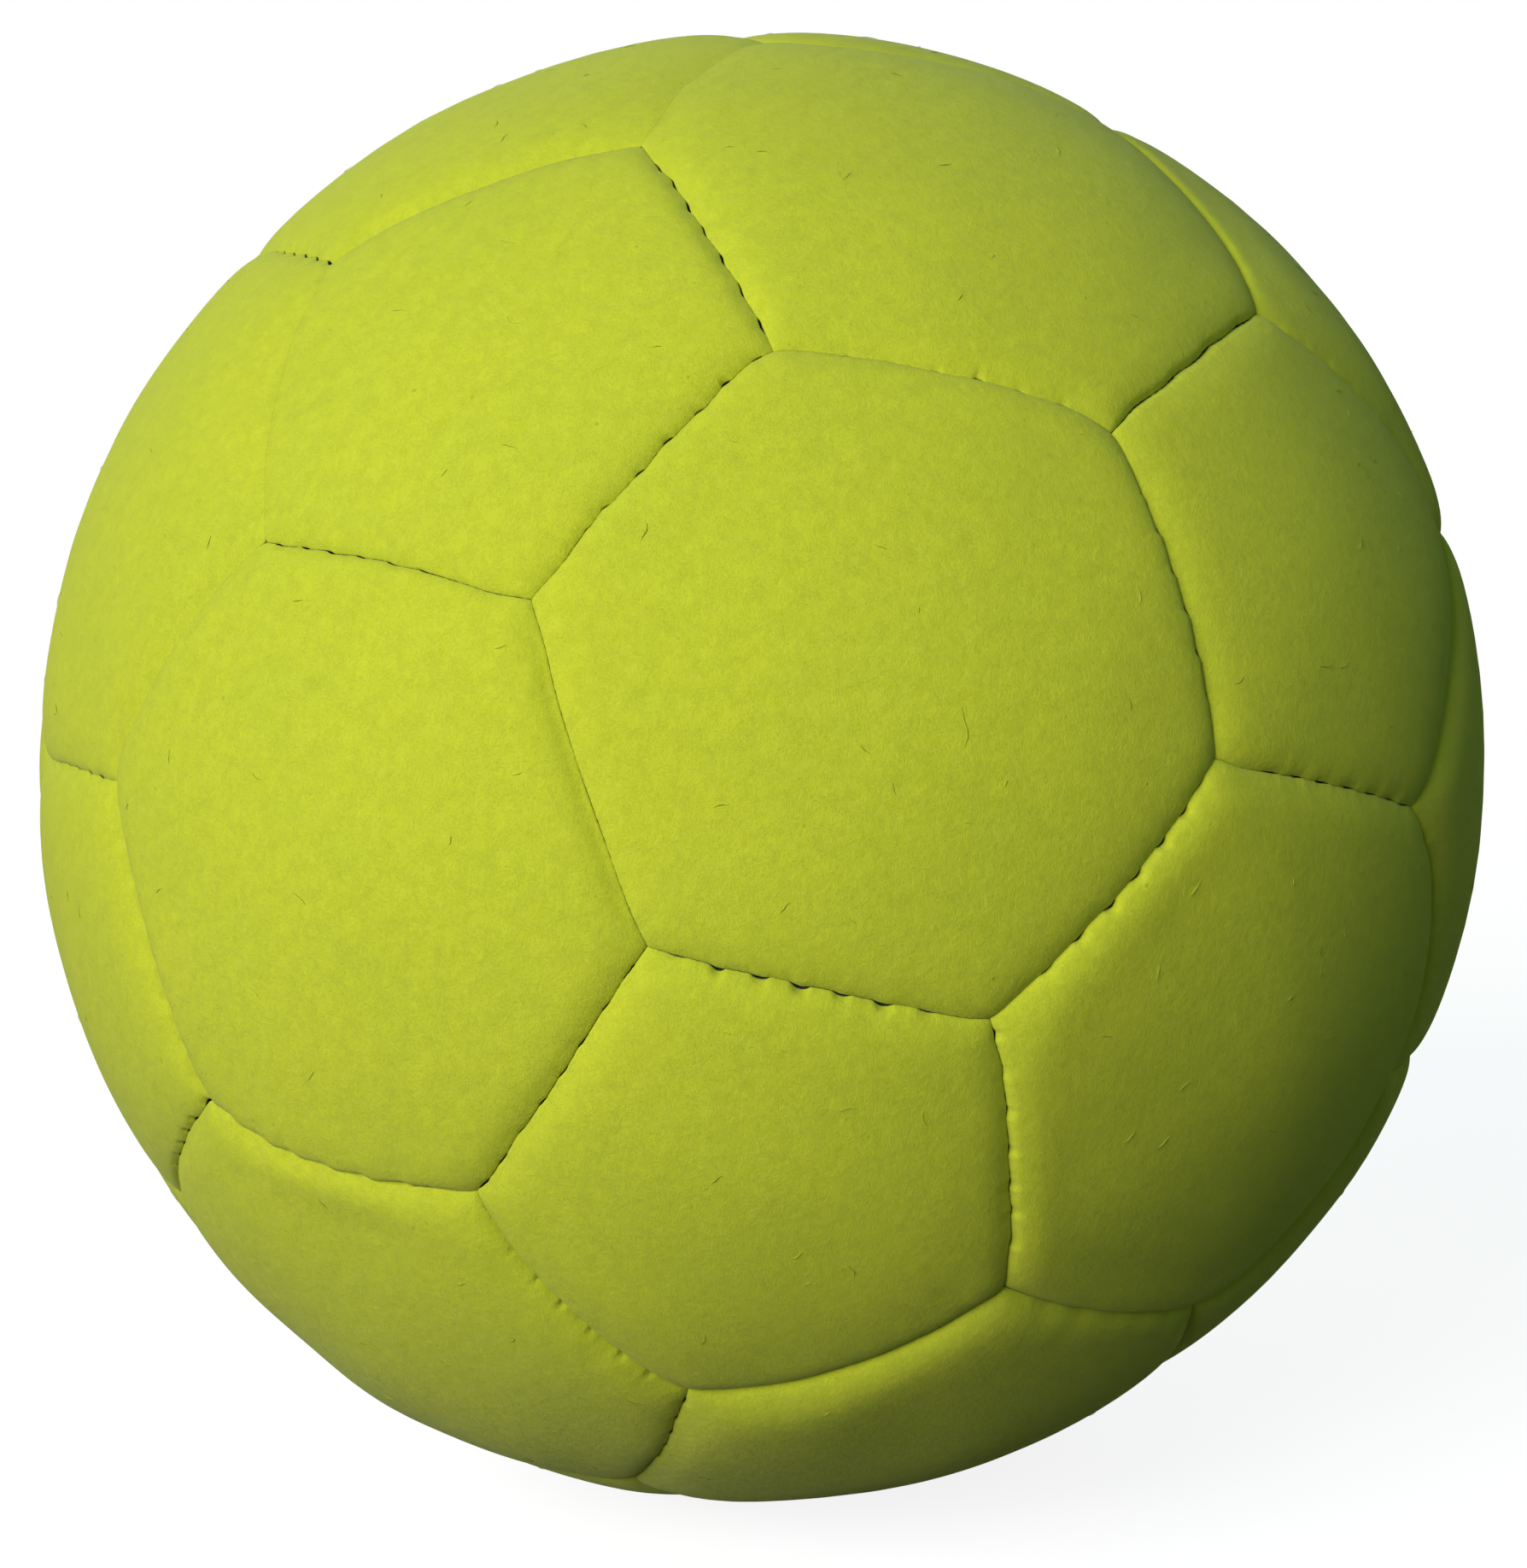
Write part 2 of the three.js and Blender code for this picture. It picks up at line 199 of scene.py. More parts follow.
# How each seam in the front looks, from its first corner to its second. path is how far it runs to
# the left of the straight line, at even steps. line is the gap that shows between stitches. marks are
# the stitches that open it: where, and how strongly, with gap their width, reach half their length
# and side the edge that gives way (0 for both). dip is how far the line swings to the left at a mark,
# teeth how far it falls across one and climbs back before the next, lag how far behind the mark the
# fall is. pits are dents at the marks and ribs the longer folds, on the left and on the right. rough
# is the raggedness of the edges and depth how deep the seam is drawn in. soft, where it isn't 0, makes
# the seam a fold rounded off over that distance, without a lip.
SEAM_LOOKS = by_seam(dict(
    AB=dict(
        path=(0, -0.22, 0.55, 0.75, 0.74, 1.03, 0.7, 1.01, 0), line=0.035, gap=0.32, reach=0.75,
        side=1, teeth=0.1,
        marks=((11, 0.3), (14.5, 0.5), (20.4, 0.7), (25.9, 0.95), (31.6, 0.7), (36.8, 1.2),
               (42.3, 0.6))),
    BC=dict(
        path=(0, 0.59, 0.68, 0.77, 0.73, 1.13, 1.11, 0.96, 0), line=0.02, gap=0.35, reach=0.7, side=1,
        teeth=0.04, pits=(0.16, 0),
        marks=((9.4, 0.3), (15.2, 0.2), (20.7, 0.5), (26.1, 1.2), (31.5, 0.5), (37.4, 0.4))),
    CH=dict(
        path=(0, 0.46, 0.47, 1.09, 1.02, 1.18, 1.09, 0.46, 0), line=0.01, gap=0.26, reach=0.6, side=-1,
        teeth=-0.13,
        marks=((9.2, 0.3), (14.8, 0.8), (20.2, 0.7), (25.5, 0.9), (31.1, 0.9), (36.5, 0.7))),
    FH=dict(
        path=(0, -0.26, -0.38, -0.82, -1.04, -0.92, -0.78, -0.09, 0), line=0.015, gap=0.35, reach=1.05,
        side=-1, dip=-0.22,
        marks=((9.4, 0.6), (15, 0.9), (20.4, 1.2), (25.4, 1), (30.9, 1.1), (35.9, 0.8), (40.2, 0.5))),
    EF=dict(
        path=(0, -0.05, -0.45, -0.36, -0.57, -0.73, -0.47, -0.43, 0), line=0.06, gap=0.34, reach=1.1,
        side=-1, dip=-0.2, ribs=(0, 0.03),
        marks=((3.9, 0.3), (9.1, 1), (14.4, 1), (19.6, 1.25), (24.8, 0.8), (30.4, 1), (36, 0.45))),
    AE=dict(path=(0, 0.01, -0.55, -0.93, -1.12, -0.98, -0.74, -0.42, 0), line=0.035, teeth=0.03),
    BJ=dict(
        path=(0, -0.25, -0.56, -0.63, -0.6, -0.6, -0.45, 0.08, 0), gap=0.32, reach=1.35, side=0,
        teeth=0.12,
        marks=((3.9, 1), (10.4, 0.7), (16.3, 1), (22.2, 0.7), (27.8, 1), (33.5, 0.8), (38, 0.9))),
    KL=dict(
        path=(0, 0.72, -0.01, -0.5, -0.78, -0.8, -0.64, -0.1, 0), ribs=(0.03, 0.05), rough=0,
        depth=0.6, soft=1),
    LA=dict(
        path=(0, -0.01, -0.06, -0.05, -0.12, -0.22, -0.38, -0.58, 0), line=0.05, gap=0.18, reach=0.8,
        side=0, teeth=0.08,
        marks=((2.6, 0.9), (7.4, 1.1), (11.9, 1), (17.2, 0.8), (22.4, 0.7), (28.1, 0.6))),
    KJ=dict(
        path=(0, 0.55, 1.19, 1.09, 0.75, 0.72, 0.89, 0.28, 0), ribs=(0.05, 0.02), rough=0.07, depth=0.9),
    CD=dict(
        path=(0, 0.39, 0.05, -0.22, -0.31, -0.11, 0.07, 0.1, 0), line=0.12, gap=0.19, reach=1.6,
        teeth=-0.06, rough=0.05,
        marks=((3, 0.3), (16, 0.3), (26, 0.5), (37, 0.5))),
    HI=dict(
        path=(0, -0.69, -0.58, -0.47, -0.53, -0.3, -0.16, -0.14, 0), line=0.02, gap=0.19, reach=1.5,
        side=0, teeth=0.07, lag=1.8, ribs=(0, 0.02),
        marks=((9.8, 0.8), (15.1, 1), (20.7, 1.25), (26.6, 1), (32.2, 0.9), (37.4, 0.8), (41.8, 1))),
    GE=dict(
        path=(0, -0.59, -0.59, -1.02, -1.11, -0.85, -0.54, -0.19, 0), line=0.06, gap=0.16, reach=1.1,
        side=0, teeth=0.06,
        marks=((2, 1.4), (7.3, 0.9), (12.8, 0.5), (18, 0.8), (23.3, 0.8), (28.5, 1), (34.8, 0.8),
               (40.7, 0.8))),
    FS=dict(
        path=(0, 0.71, 0.9, 1.06, 0.88, 0.99, 0.68, 0.21, 0), line=0.06, gap=0.22, reach=0.9, side=1,
        teeth=0.09, pits=(0.1, 0),
        marks=((2.2, 1.2), (7.7, 0.4), (13.9, 0.8), (20, 0.8), (25.5, 0.7), (30.3, 1), (35.5, 0.8))),
    LM=dict(path=(0, -0.67, -0.92, -0.99, -0.81, -0.59, -0.75, -0.84, 0), rough=0, depth=1, soft=0.5),
    OG=dict(
        path=(0, -1.24, -2.46, -3.19, -3.44, -3.01, -2.06, -0.79, 0), gap=0.32, reach=0.9, side=-1,
        teeth=0.22, ribs=(0.05, 0.2),
        marks=((0.4, 1.6), (6, 0.7), (12.2, 0.8), (17.4, 0.5), (23, 0.4), (29, 0.3), (35.5, 0.8))),
    US=dict(path=(0, -1.22, -2.57, -3.24, -3.25, -2.99, -2.05, -0.84, 0), rough=0.06, depth=1.15),
    ST=dict(path=(0, -0.27, -0.73, -0.96, -0.93, -0.67, -0.1, 0.19, 0), line=0.08, ribs=(0.02, 0.06)),
    GU=dict(
        path=(0, -0.81, -1.55, -1.73, -1.67, -1.56, -1.23, -0.73, 0), line=0.05, gap=0.2, reach=0.7,
        side=-1, teeth=0.05, pits=(0, 0.2), ribs=(0, 0.05),
        marks=((10.2, 0.5), (16.4, 1), (21.7, 1), (27.6, 0.8), (33.3, 1), (38.3, 0.8))),
    DP=dict(
        path=(0, 0.5, 1.7, 2.9, 4, 4.8, 5, 3.6, 0), line=0.05, gap=0.3, reach=1, teeth=0.08, depth=0.7,
        marks=((4, 0.8), (9.5, 0.6), (15, 0.8), (20.6, 0.7), (26, 0.9), (31.5, 0.6), (37, 0.8))),
    IP=dict(
        path=(0, -1.8, -2.8, -3.4, -3.8, -4.2, -4.2, -3, 0), line=0.03, gap=0.25, reach=0.9,
        teeth=0.06, depth=0.8,
        marks=((3.5, 0.7), (9, 0.8), (14.6, 0.5), (20, 0.8), (25.6, 0.6), (31, 0.8), (36.6, 0.6))),
    QI=dict(
        path=(0, -4, -5.2, -5.2, -4.9, -4.6, -3.9, -2.2, 0), line=0.05, gap=0.3, reach=1, teeth=0.08,
        depth=0.7,
        marks=((5, 0.8), (10.5, 0.7), (16, 0.9), (21.5, 0.6), (27, 0.8), (32.5, 0.7), (38, 0.8))),
    TQ=dict(
        path=(0, -3, -5, -5.8, -6, -6, -5.6, -3.6, 0), line=0.1, gap=0.25, reach=1, teeth=0.06,
        depth=0.9,
        marks=((4, 0.8), (9.5, 0.7), (15, 0.7), (20.5, 0.6), (26, 0.8), (31.5, 0.6), (37, 0.8))),
    TX=dict(
        path=(0, 0.5, 1.2, 1.9, 2.2, 2, 1.4, 0.7, 0), line=0.08, gap=0.3, teeth=0.05,
        marks=((4, 0.9), (9.5, 0.7), (15, 0.8), (20.5, 0.6), (26, 0.8), (31.5, 0.7))),
    JN=dict(path=(0, 0.4, 1.3, 2, 2.1, 1.8, 1.3, 0.6, 0), rough=0, depth=0.6, soft=1.3),
    NR=dict(path=(0, -1.5, -1, 0.4, 1.6, 2.5, 3, 2.2, 0), line=0.03, depth=0.75),
    RD=dict(
        path=(0, 1.7, 2.1, 2.3, 2.5, 2.6, 2.2, 1.1, 0), line=0.05, gap=0.25, reach=0.9, teeth=0.05,
        depth=0.9,
        marks=((4, 0.6), (9.5, 0.7), (15, 0.6), (20.5, 0.8), (26, 0.6), (31.5, 0.7), (37, 0.7),
               (41.5, 0.6))),
    KY=dict(
        path=(0, -0.3, -0.5, -0.7, -1, -1.4, -1.7, -1.5, 0), gap=0.3, reach=1.2, teeth=0.22,
        rough=0.05,
        marks=((1, 1.6), (6, 1.2), (11.2, 1.2), (16.5, 1), (22, 0.8), (27, 0.6))),
    MV=dict(
        path=(0, 0.1, 0.3, 0.5, 0.6, 0.7, 0.6, 0.3, 0), gap=0.35, reach=0.9, teeth=0.06,
        marks=((5.2, 1), (9.5, 1.2), (15, 0.8), (20, 0.6), (26, 0.6))),
    OZ=dict(
        path=(0, -0.2, -0.3, -0.3, -0.3, -0.5, -0.6, -0.4, 0), gap=0.28, reach=1, side=-1, teeth=0.04,
        marks=((1.5, 1.4), (7.5, 1.3), (12.5, 1.2), (17.5, 1.2), (23, 1), (28.5, 0.8))),
    UW=dict(
        path=(0, 0.2, 0.5, 0.8, 0.9, 0.7, 0.5, 0.2, 0), line=0.03, gap=0.3, reach=0.9, teeth=0.05,
        marks=((3, 0.9), (8.5, 0.7), (14, 0.8), (19.5, 0.7), (25, 0.8), (30.5, 0.6))),
))
PLAIN_SEAM = dict(
    path=(0, 0), line=0.0, gap=0.2, reach=1.0, side=0, dip=0.0, teeth=0.0, lag=0.0, pits=(0.0, 0.0),
    ribs=(0.0, 0.0), rough=0.025, depth=1.0, soft=0.0, marks=(),
)


def chosen_look(draw):
    """The look of a seam that the front doesn't show, drawn from the same range."""
    closed = draw.random() < 0.45
    first, strength = draw.uniform(1, 5), draw.uniform(0.0, 1.0) if closed else draw.uniform(0.5, 1.1)
    places = [first + STITCH * number + draw.normal(0, 0.2) for number in range(8)]
    bow = draw.uniform(-0.8, 0.8)
    return dict(
        path=(0, 0.75 * bow + draw.normal(0, 0.12), bow, 0.75 * bow + draw.normal(0, 0.12), 0),
        line=0.0 if closed else draw.uniform(0.01, 0.07),
        marks=[(place, strength * draw.uniform(0.5, 1.2)) for place in places if place < 43],
        gap=draw.uniform(0.2, 0.4),
        reach=draw.uniform(0.7, 1.2),
        side=int(draw.integers(-1, 2)),
        dip=draw.choice([0, 0, -0.2, 0.2]),
        teeth=draw.uniform(-0.1, 0.16),
        pits=(draw.uniform(0, 0.14), draw.uniform(0, 0.14)),
        ribs=(draw.uniform(0, 0.05), draw.uniform(0, 0.05)),
        rough=draw.uniform(0.02, 0.05),
        depth=draw.uniform(0.75, 1.1),
    )


# How far the felt stands off the plain fall beside each seam, on its left and its right, in
# hundredths of a millimetre, at distances that grow from 0.8 mm to 29 mm.
LIFTS = by_seam(dict(
    AB=((7, 8, 3, -1, -6, -11, -17), (14, 6, -2, -14, -28, -35, -27)),
    BC=((-36, -20, -12, -9, -7, 3, 20), (8, 9, 8, -5, -27, -39, -27)),
    CH=((-26, -32, -27, -23, -18, -3, 5), (8, 0, -3, -4, -6, 0, -1)),
    FH=((), (33, 42, 50, 42, 14, 0, -17)),
    EF=((10, 12, 10, 4, -4, -8, 2), (30, 37, 38, 19, 10, 18, 34)),
    AE=((-6, 1, 0, -4, -9, -4, 4), (-22, 7, 25, 21, 5, -16, -30)),
    BJ=((1, 15, 13, -3, -9, -10, -11), (-9, 6, 15, 12, 9, 2, -4)),
    KL=((), (3, 3, 6, 9, 9, 2, -6)),
    LA=((1, 0, -1, -2, -1, 2, 6), (12, 10, 9, 6, -2, -14, -28)),
    KJ=((-11, 4, 13, 15, 11, 4, -11), (-7, -2, 2, 1, -2, -8, -15)),
    CD=((29, 21, 13, -3, -15, -14, -2), (12, 2, -2, -18, -30, -23, -13)),
    HI=((10, 8, 0, -9, -3, 18, 39), (-4, 0, 11, 8, -4, -16, -18)),
    GE=((-4, 10, 20, 17, 10, -7, -25), (-16, 6, 23, 27, 31, 47, 50)),
    FS=((50, 50, 50, 33, -8, -42, -50), (-4, 0, 1, -9, 4, 18, 13)),
    LM=((-1, 1, 2, 1, -4, -18, -42), (-7, -4, 0, 1, 3, 10, 16)),
    OG=((29, 21, 9, 3, -3, -7, -24), (-6, 9, 20, 11, -16, -18, -5)),
    US=((1, -8, -19, -23, -5, 5, -3), (26, 31, 36, 34, 12, -25, -37)),
    ST=((22, 3, -22, -50, -50, -50, -43), (-14, -5, -2, -8, -13, -8, -3)),
    GU=((36, 17, 4, -5, -17, -27, -16), (24, 27, 25, 13, -11, -39, -50)),
    DP=((-5, -7, -6, 2, 15, 9, -10), (7, 3, -1, 1, 9, 20, 28)),
    IP=((), (-19, 2, 18, 27, 17, 6, -3)),
    JN=((), (10, 10, 11, 13, 14, 11, 4)),
    NR=((), (-28, -20, -13, -8, -2, 4, 9)),
    RD=((22, 7, -16, -21, -1, 17, 34), (-5, -14, -18, -16, -9, -2, 5)),
    KY=((-7, -5, -2, 0, 1, 4, 7), ()),
    MV=((), (12, 2, -4, -5, -5, -2, 1)),
    OZ=((-19, -7, 1, 5, 5, -1, -16), (23, 12, 6, 3, 3, 6, 8)),
    UW=((-8, -18, 0, 26, 39, 33, -1), (1, -2, -3, 5, 9, 20, 20)),
    OM=((-32, -20, -9, -2, 0, 5, 16), (-15, 8, 9, 0, -8, -20, -39)),
))
LIFT_SCALE, LIFT_END = 1.5, 45     # how the distances grow, and where the last height has faded


class Swell:
    """A smooth even wandering of a value, in space or along a line."""

    def __init__(self, draw, waves, shortest, longest, axes=3):
        turns = draw.normal(size=(waves, axes))
        turns /= np.linalg.norm(turns, axis=1, keepdims=True)
        lengths = np.exp(draw.uniform(math.log(shortest), math.log(longest), waves))
        self.turns = turns * (2 * math.pi / lengths)[:, None]
        self.starts = draw.uniform(0, 2 * math.pi, waves)
        self.size = math.sqrt(2 / waves)

    def __call__(self, places):
        total = np.zeros(len(places))
        for turn, start in zip(self.turns, self.starts):
            total += np.sin(places @ turn + start)
        return total * self.size

    def along(self, distance):
        return self(distance[:, None])


def curve(values, share):
    """A smooth curve through values that stand at even steps."""
    values = np.asarray(values, float)
    spot = np.clip(share, 0, 1) * (len(values) - 1)
    here = np.minimum(spot.astype(int), len(values) - 2)
    t = spot - here
    padded = np.concatenate([[2 * values[0] - values[1]], values, [2 * values[-1] - values[-2]]])
    a, b, c, d = (padded[here + step] for step in range(4))
    return b + 0.5 * t * (c - a + t * (2 * a - 5 * b + 4 * c - d + t * (3 * (b - c) + d - a)))


# How the felt falls to a seam: the depth and the reach of each part of the fall.
FALL = ((1.1, 2.1), (0.55, 6), (0.3, 14))
LIP, OPEN_LIP, LIP_REACH = 0.1, 0.16, 0.2     # the roll at the very edge, more where a line shows
OPEN_LINE = 0.1                               # the line that has the full OPEN_LIP
OPENING_FALL, OPENING_REACH = 0.25, 0.6
PIT_REACH, RIB_REACH = 1.3, 3.2
WAVE_REACH, GAPE_REACH, BOW_REACH = 2.2, 0.8, 14
STITCHED_REACH = 12                           # nothing that a stitch does reaches further
CORNER_REACH = 6                              # of the depth that seams share at a corner
SWING = 0.05                                  # the line's own wandering


class Seam:
    """One seam: where it runs, and what it does to the felt on its left and its right."""

    def __init__(self, start, end, number):
        draw = np.random.default_rng(7100 + number)
        drawn = chosen_look(draw)
        look = dict(PLAIN_SEAM, **SEAM_LOOKS.get((start, end), drawn))
        from_point, to_point = corner_point(start), corner_point(end)
        self.look = look
        self.middle = unit(from_point + to_point)
        self.left = unit(np.cross(from_point, to_point))
        self.along = np.cross(self.left, self.middle)
        self.length = CROWN * math.acos(from_point @ to_point)
        self.ends = (start, end)
        self.end_depths = (look["depth"],) * 2
        self.lifts = [np.array(heights) / 100 for heights in LIFTS.get(self.ends, ((), ()))]
        self.swing = Swell(draw, 5, 9, 26, axes=1)
        self.ragged = [Swell(draw, 9, 0.9, 3.2, axes=1) for _ in range(2)]
        self.uneven = Swell(draw, 5, 7, 20, axes=1)
        self.stitches = [
            (place, size, look["reach"] * draw.uniform(0.85, 1.15), draw.uniform(-0.5, 0.5))
            for place, size in look["marks"]
        ]

    def place(self, points):
        """How far along the seam the points lie, and how far to its left."""
        along = CROWN * np.arctan2(points @ self.along, points @ self.middle) + self.length / 2
        return along, CROWN * np.arcsin(np.clip(points @ self.left, -1, 1))

    def inside(self, along, low=-0.3, high=3.5):
        """1 between the seam's ends and 0 beyond them."""
        return smooth(low, high, along) * smooth(low, high, self.length - along)

    def at_marks(self, along, widen=1.0, power=0.6):
        """1 at each stitch's mark and 0 between them, by the mark's strength."""
        total = np.zeros(len(along))
        for place, size, reach, lean in self.stitches:
            off = (along - place) / (reach * widen)
            total = np.maximum(total, size * np.clip(1 - off ** 2, 0, 1) ** power * (1 - lean * off))
        return total

    def openings(self, along, side):
        """How far the stitches hold this side's edge back."""
        which = self.look["side"]
        share = 0.5 if which == 0 else float(which == side)
        return share * self.look["gap"] * self.at_marks(along)

    def teeth(self, along):
        """The line falls across each mark and climbs back before the next."""
        total = np.zeros(len(along))
        places = [place + self.look["lag"] for place, *_ in self.stitches]
        for place, after in zip(places, places[1:]):
            share = np.clip((along - place) / (after - place), 0, 1)
            total += -np.sin(2 * math.pi * share) - 0.35 * np.sin(4 * math.pi * share)
        return self.look["teeth"] * total

    def wave(self, along):
        line = self.teeth(along) + self.look["dip"] * np.minimum(self.at_marks(along, 1.15, 1.2), 1.2)
        return line + SWING * self.swing.along(along) * self.inside(along)

    def sideways(self, along, distance, side):
        """How far the felt moves to the left of the seam, on one side of it, distance from it."""
        line = self.look["line"] / 2 * (0.8 + 0.35 * self.uneven.along(along))
        ragged = self.look["rough"] * 0.5 * (1 + self.ragged[(1 + side) // 2].along(along))
        gape = np.maximum(line + ragged * self.inside(along, high=1.5), 0.0) + self.openings(along, side)
        moved = self.wave(along) * bell(distance, WAVE_REACH) + side * gape * bell(distance, GAPE_REACH)
        return moved * self.inside(along, -1.5, 0.2)

    def depth(self, along):
        """How deep the seam is drawn in. At its ends the seams that meet share one depth."""
        own = self.look["depth"]
        for end_depth, away in zip(self.end_depths, (along, self.length - along)):
            own = own + (end_depth - self.look["depth"]) * bell(np.maximum(away, 0), CORNER_REACH)
        return own

    def drop(self, along, distance, side):
        """How far the felt lies below the crown."""
        look, turn = self.look, 0 if side > 0 else 1
        lip = 0.0 if look["soft"] else LIP + OPEN_LIP * min(look["line"] / OPEN_LINE, 1)
        distance = np.hypot(distance, look["soft"])
        fall = sum(part * fading(distance, reach) for part, reach in (*FALL, (lip, LIP_REACH)))
        depth = self.depth(along) * fall
        depth += OPENING_FALL * self.openings(along, side) * fading(distance, OPENING_REACH)
        depth += look["pits"][turn] * self.at_marks(along, 1.3, 1.5) * bell(distance, PIT_REACH)
        folds = self.teeth(along + 0.8) / (abs(look["teeth"]) + 1e-6) + 0.6 * self.uneven.along(along)
        depth += look["ribs"][turn] * folds * fading(distance, RIB_REACH) * self.inside(along, high=5)
        return depth

    def bow(self, along, distance):
        return curve(self.look["path"], along / self.length) * bell(distance, BOW_REACH)


def build_seams():
    seams = {}
    number = 0
    for a in range(12):
        for b in NEIGHBOURS[a]:
            ends = [((a, b), (a, c)) for c in NEIGHBOURS[b] if c in NEIGHBOURS[a] and c > b]
            if a < b:
                ends.append(((a, b), (b, a)))
            for start, end in ends:
                if (end, start) in SEAM_LOOKS:
                    start, end = end, start
                seams[frozenset((start, end))] = Seam(start, end, number)
                number += 1
    for seam in seams.values():
        seam.end_depths = [
            np.mean([other.look["depth"] for other in seams.values() if corner in other.ends])
            for corner in seam.ends
        ]
    return seams


SEAMS = build_seams()
JOIN_POWER = 3.5     # the larger, the less the falls to two seams add up where both are felt


class Panel:
    def __init__(self, name, middle, corners):
        self.name = name
        self.middle = unit(middle)
        self.corners = in_order(self.middle, corners)
        self.sides = []
        for ends in sides_of(self.corners):
            seam = SEAMS[frozenset(ends)]
            self.sides.append((seam, 1 if self.middle @ seam.left > 0 else -1))
        self.half_width = CROWN * math.asin(abs(self.middle @ self.sides[0][0].left))

    def rim(self, per_side):
        """Points on the seams round the panel, as offsets from its middle on the flat."""
        share = np.arange(per_side) / per_side
        points = np.concatenate([
            arc(corner_point(start), corner_point(end), share) for start, end in sides_of(self.corners)
        ])
        return points / (points @ self.middle)[:, None] - self.middle

    def inset(self, per_side, distance):
        """A ring of directions that lies distance inside the seams."""
        share = math.tan((self.half_width - distance) / CROWN) / math.tan(self.half_width / CROWN)
        return unit(self.middle + share * self.rim(per_side))

    def shaped(self, points, at_lip=None, share=1.0):
        """Directions moved as the sewing moves the felt. at_lip has the lip that a ring hangs from."""
        moved = points.copy()
        source = points if at_lip is None else at_lip
        for seam, side in self.sides:
            along, left = seam.place(source)
            distance = np.maximum(left * side, 0)
            near = distance < STITCHED_REACH
            shift = seam.bow(along, distance)
            shift[near] += seam.sideways(along[near], distance[near], side) * share
            moved += shift[:, None] * seam.left / CROWN
        return pulled(self.corners, points, moved)

    def lift(self, points):
        inward = [np.maximum(seam.place(points)[1] * side, 0) for seam, side in self.sides]
        total = np.zeros(len(points))
        for number, (seam, side) in enumerate(self.sides):
            heights = seam.lifts[0 if side > 0 else 1]
            if len(heights):
                share = np.log1p(inward[number] / LIFT_SCALE) / math.log1p(LIFT_END / LIFT_SCALE)
                here = curve([0, *heights, 0], share)
                for other, distance in enumerate(inward):
                    if other != number:
                        here = here * smooth(0, 9, distance)
                total += here
        return total

    def drop(self, points):
        total = np.zeros(len(points))
        for seam, side in self.sides:
            along, left = seam.place(points)
            depth = np.maximum(seam.drop(along, np.maximum(left * side, 0), side), 0)
            total += depth ** JOIN_POWER
        return total ** (1 / JOIN_POWER)


def build_panels():
    panels = [
        Panel(f"pentagon_panel_{a + 1:02d}", PENTAGONS[a], [(a, b) for b in NEIGHBOURS[a]])
        for a in range(12)
    ]
    for number, triple in enumerate(HEXAGONS):
        middle = unit(sum(PENTAGONS[a] for a in triple))
        corners = [(a, b) for a in triple for b in triple if a != b]
        name = f"hexagon_panel_{number + 1:02d}"
        if middle @ VALVE_AXIS > 0.999:
            name = "hexagon_panel_valve"
        panels.append(Panel(name, middle, corners))
    return panels


PANELS = build_panels()
PANEL_MIDDLES = np.array([panel.middle for panel in PANELS])

# The ball isn't quite round: it is longest across the view at this slant.
OVAL = 1.27
OVAL_SLANT = math.radians(68)
LONG_WAY = math.cos(OVAL_SLANT) * RIGHT + math.sin(OVAL_SLANT) * UP
SHORT_WAY = -math.sin(OVAL_SLANT) * RIGHT + math.cos(OVAL_SLANT) * UP
UNDULATION = Swell(np.random.default_rng(41), 26, 17, 46)
UNDULATION_HEIGHT = 0.085
SLACK = Swell(np.random.default_rng(42), 12, 60, 130)
SLACK_HEIGHT = 0.22


def roundness(directions):
    """How far the ball stands off a true sphere there. It is true near the valve."""
    away = 1 - smooth(0.8, 0.97, directions @ VALVE_AXIS)
    oval = OVAL * ((directions @ LONG_WAY) ** 2 - (directions @ SHORT_WAY) ** 2)
    return away * (oval + SLACK_HEIGHT * SLACK(directions * CROWN))


def felt_radius(panel, points):
    """Radius of the felt's face at the points, given as they lie before the sewing moves them."""
    calm = 1 - smooth(0.985, 0.995, points @ VALVE_AXIS)
    undulation = calm * UNDULATION_HEIGHT * UNDULATION(points * CROWN)
    return CROWN + roundness(points) + undulation + panel.lift(points) - panel.drop(points)


# ---- meshes ----

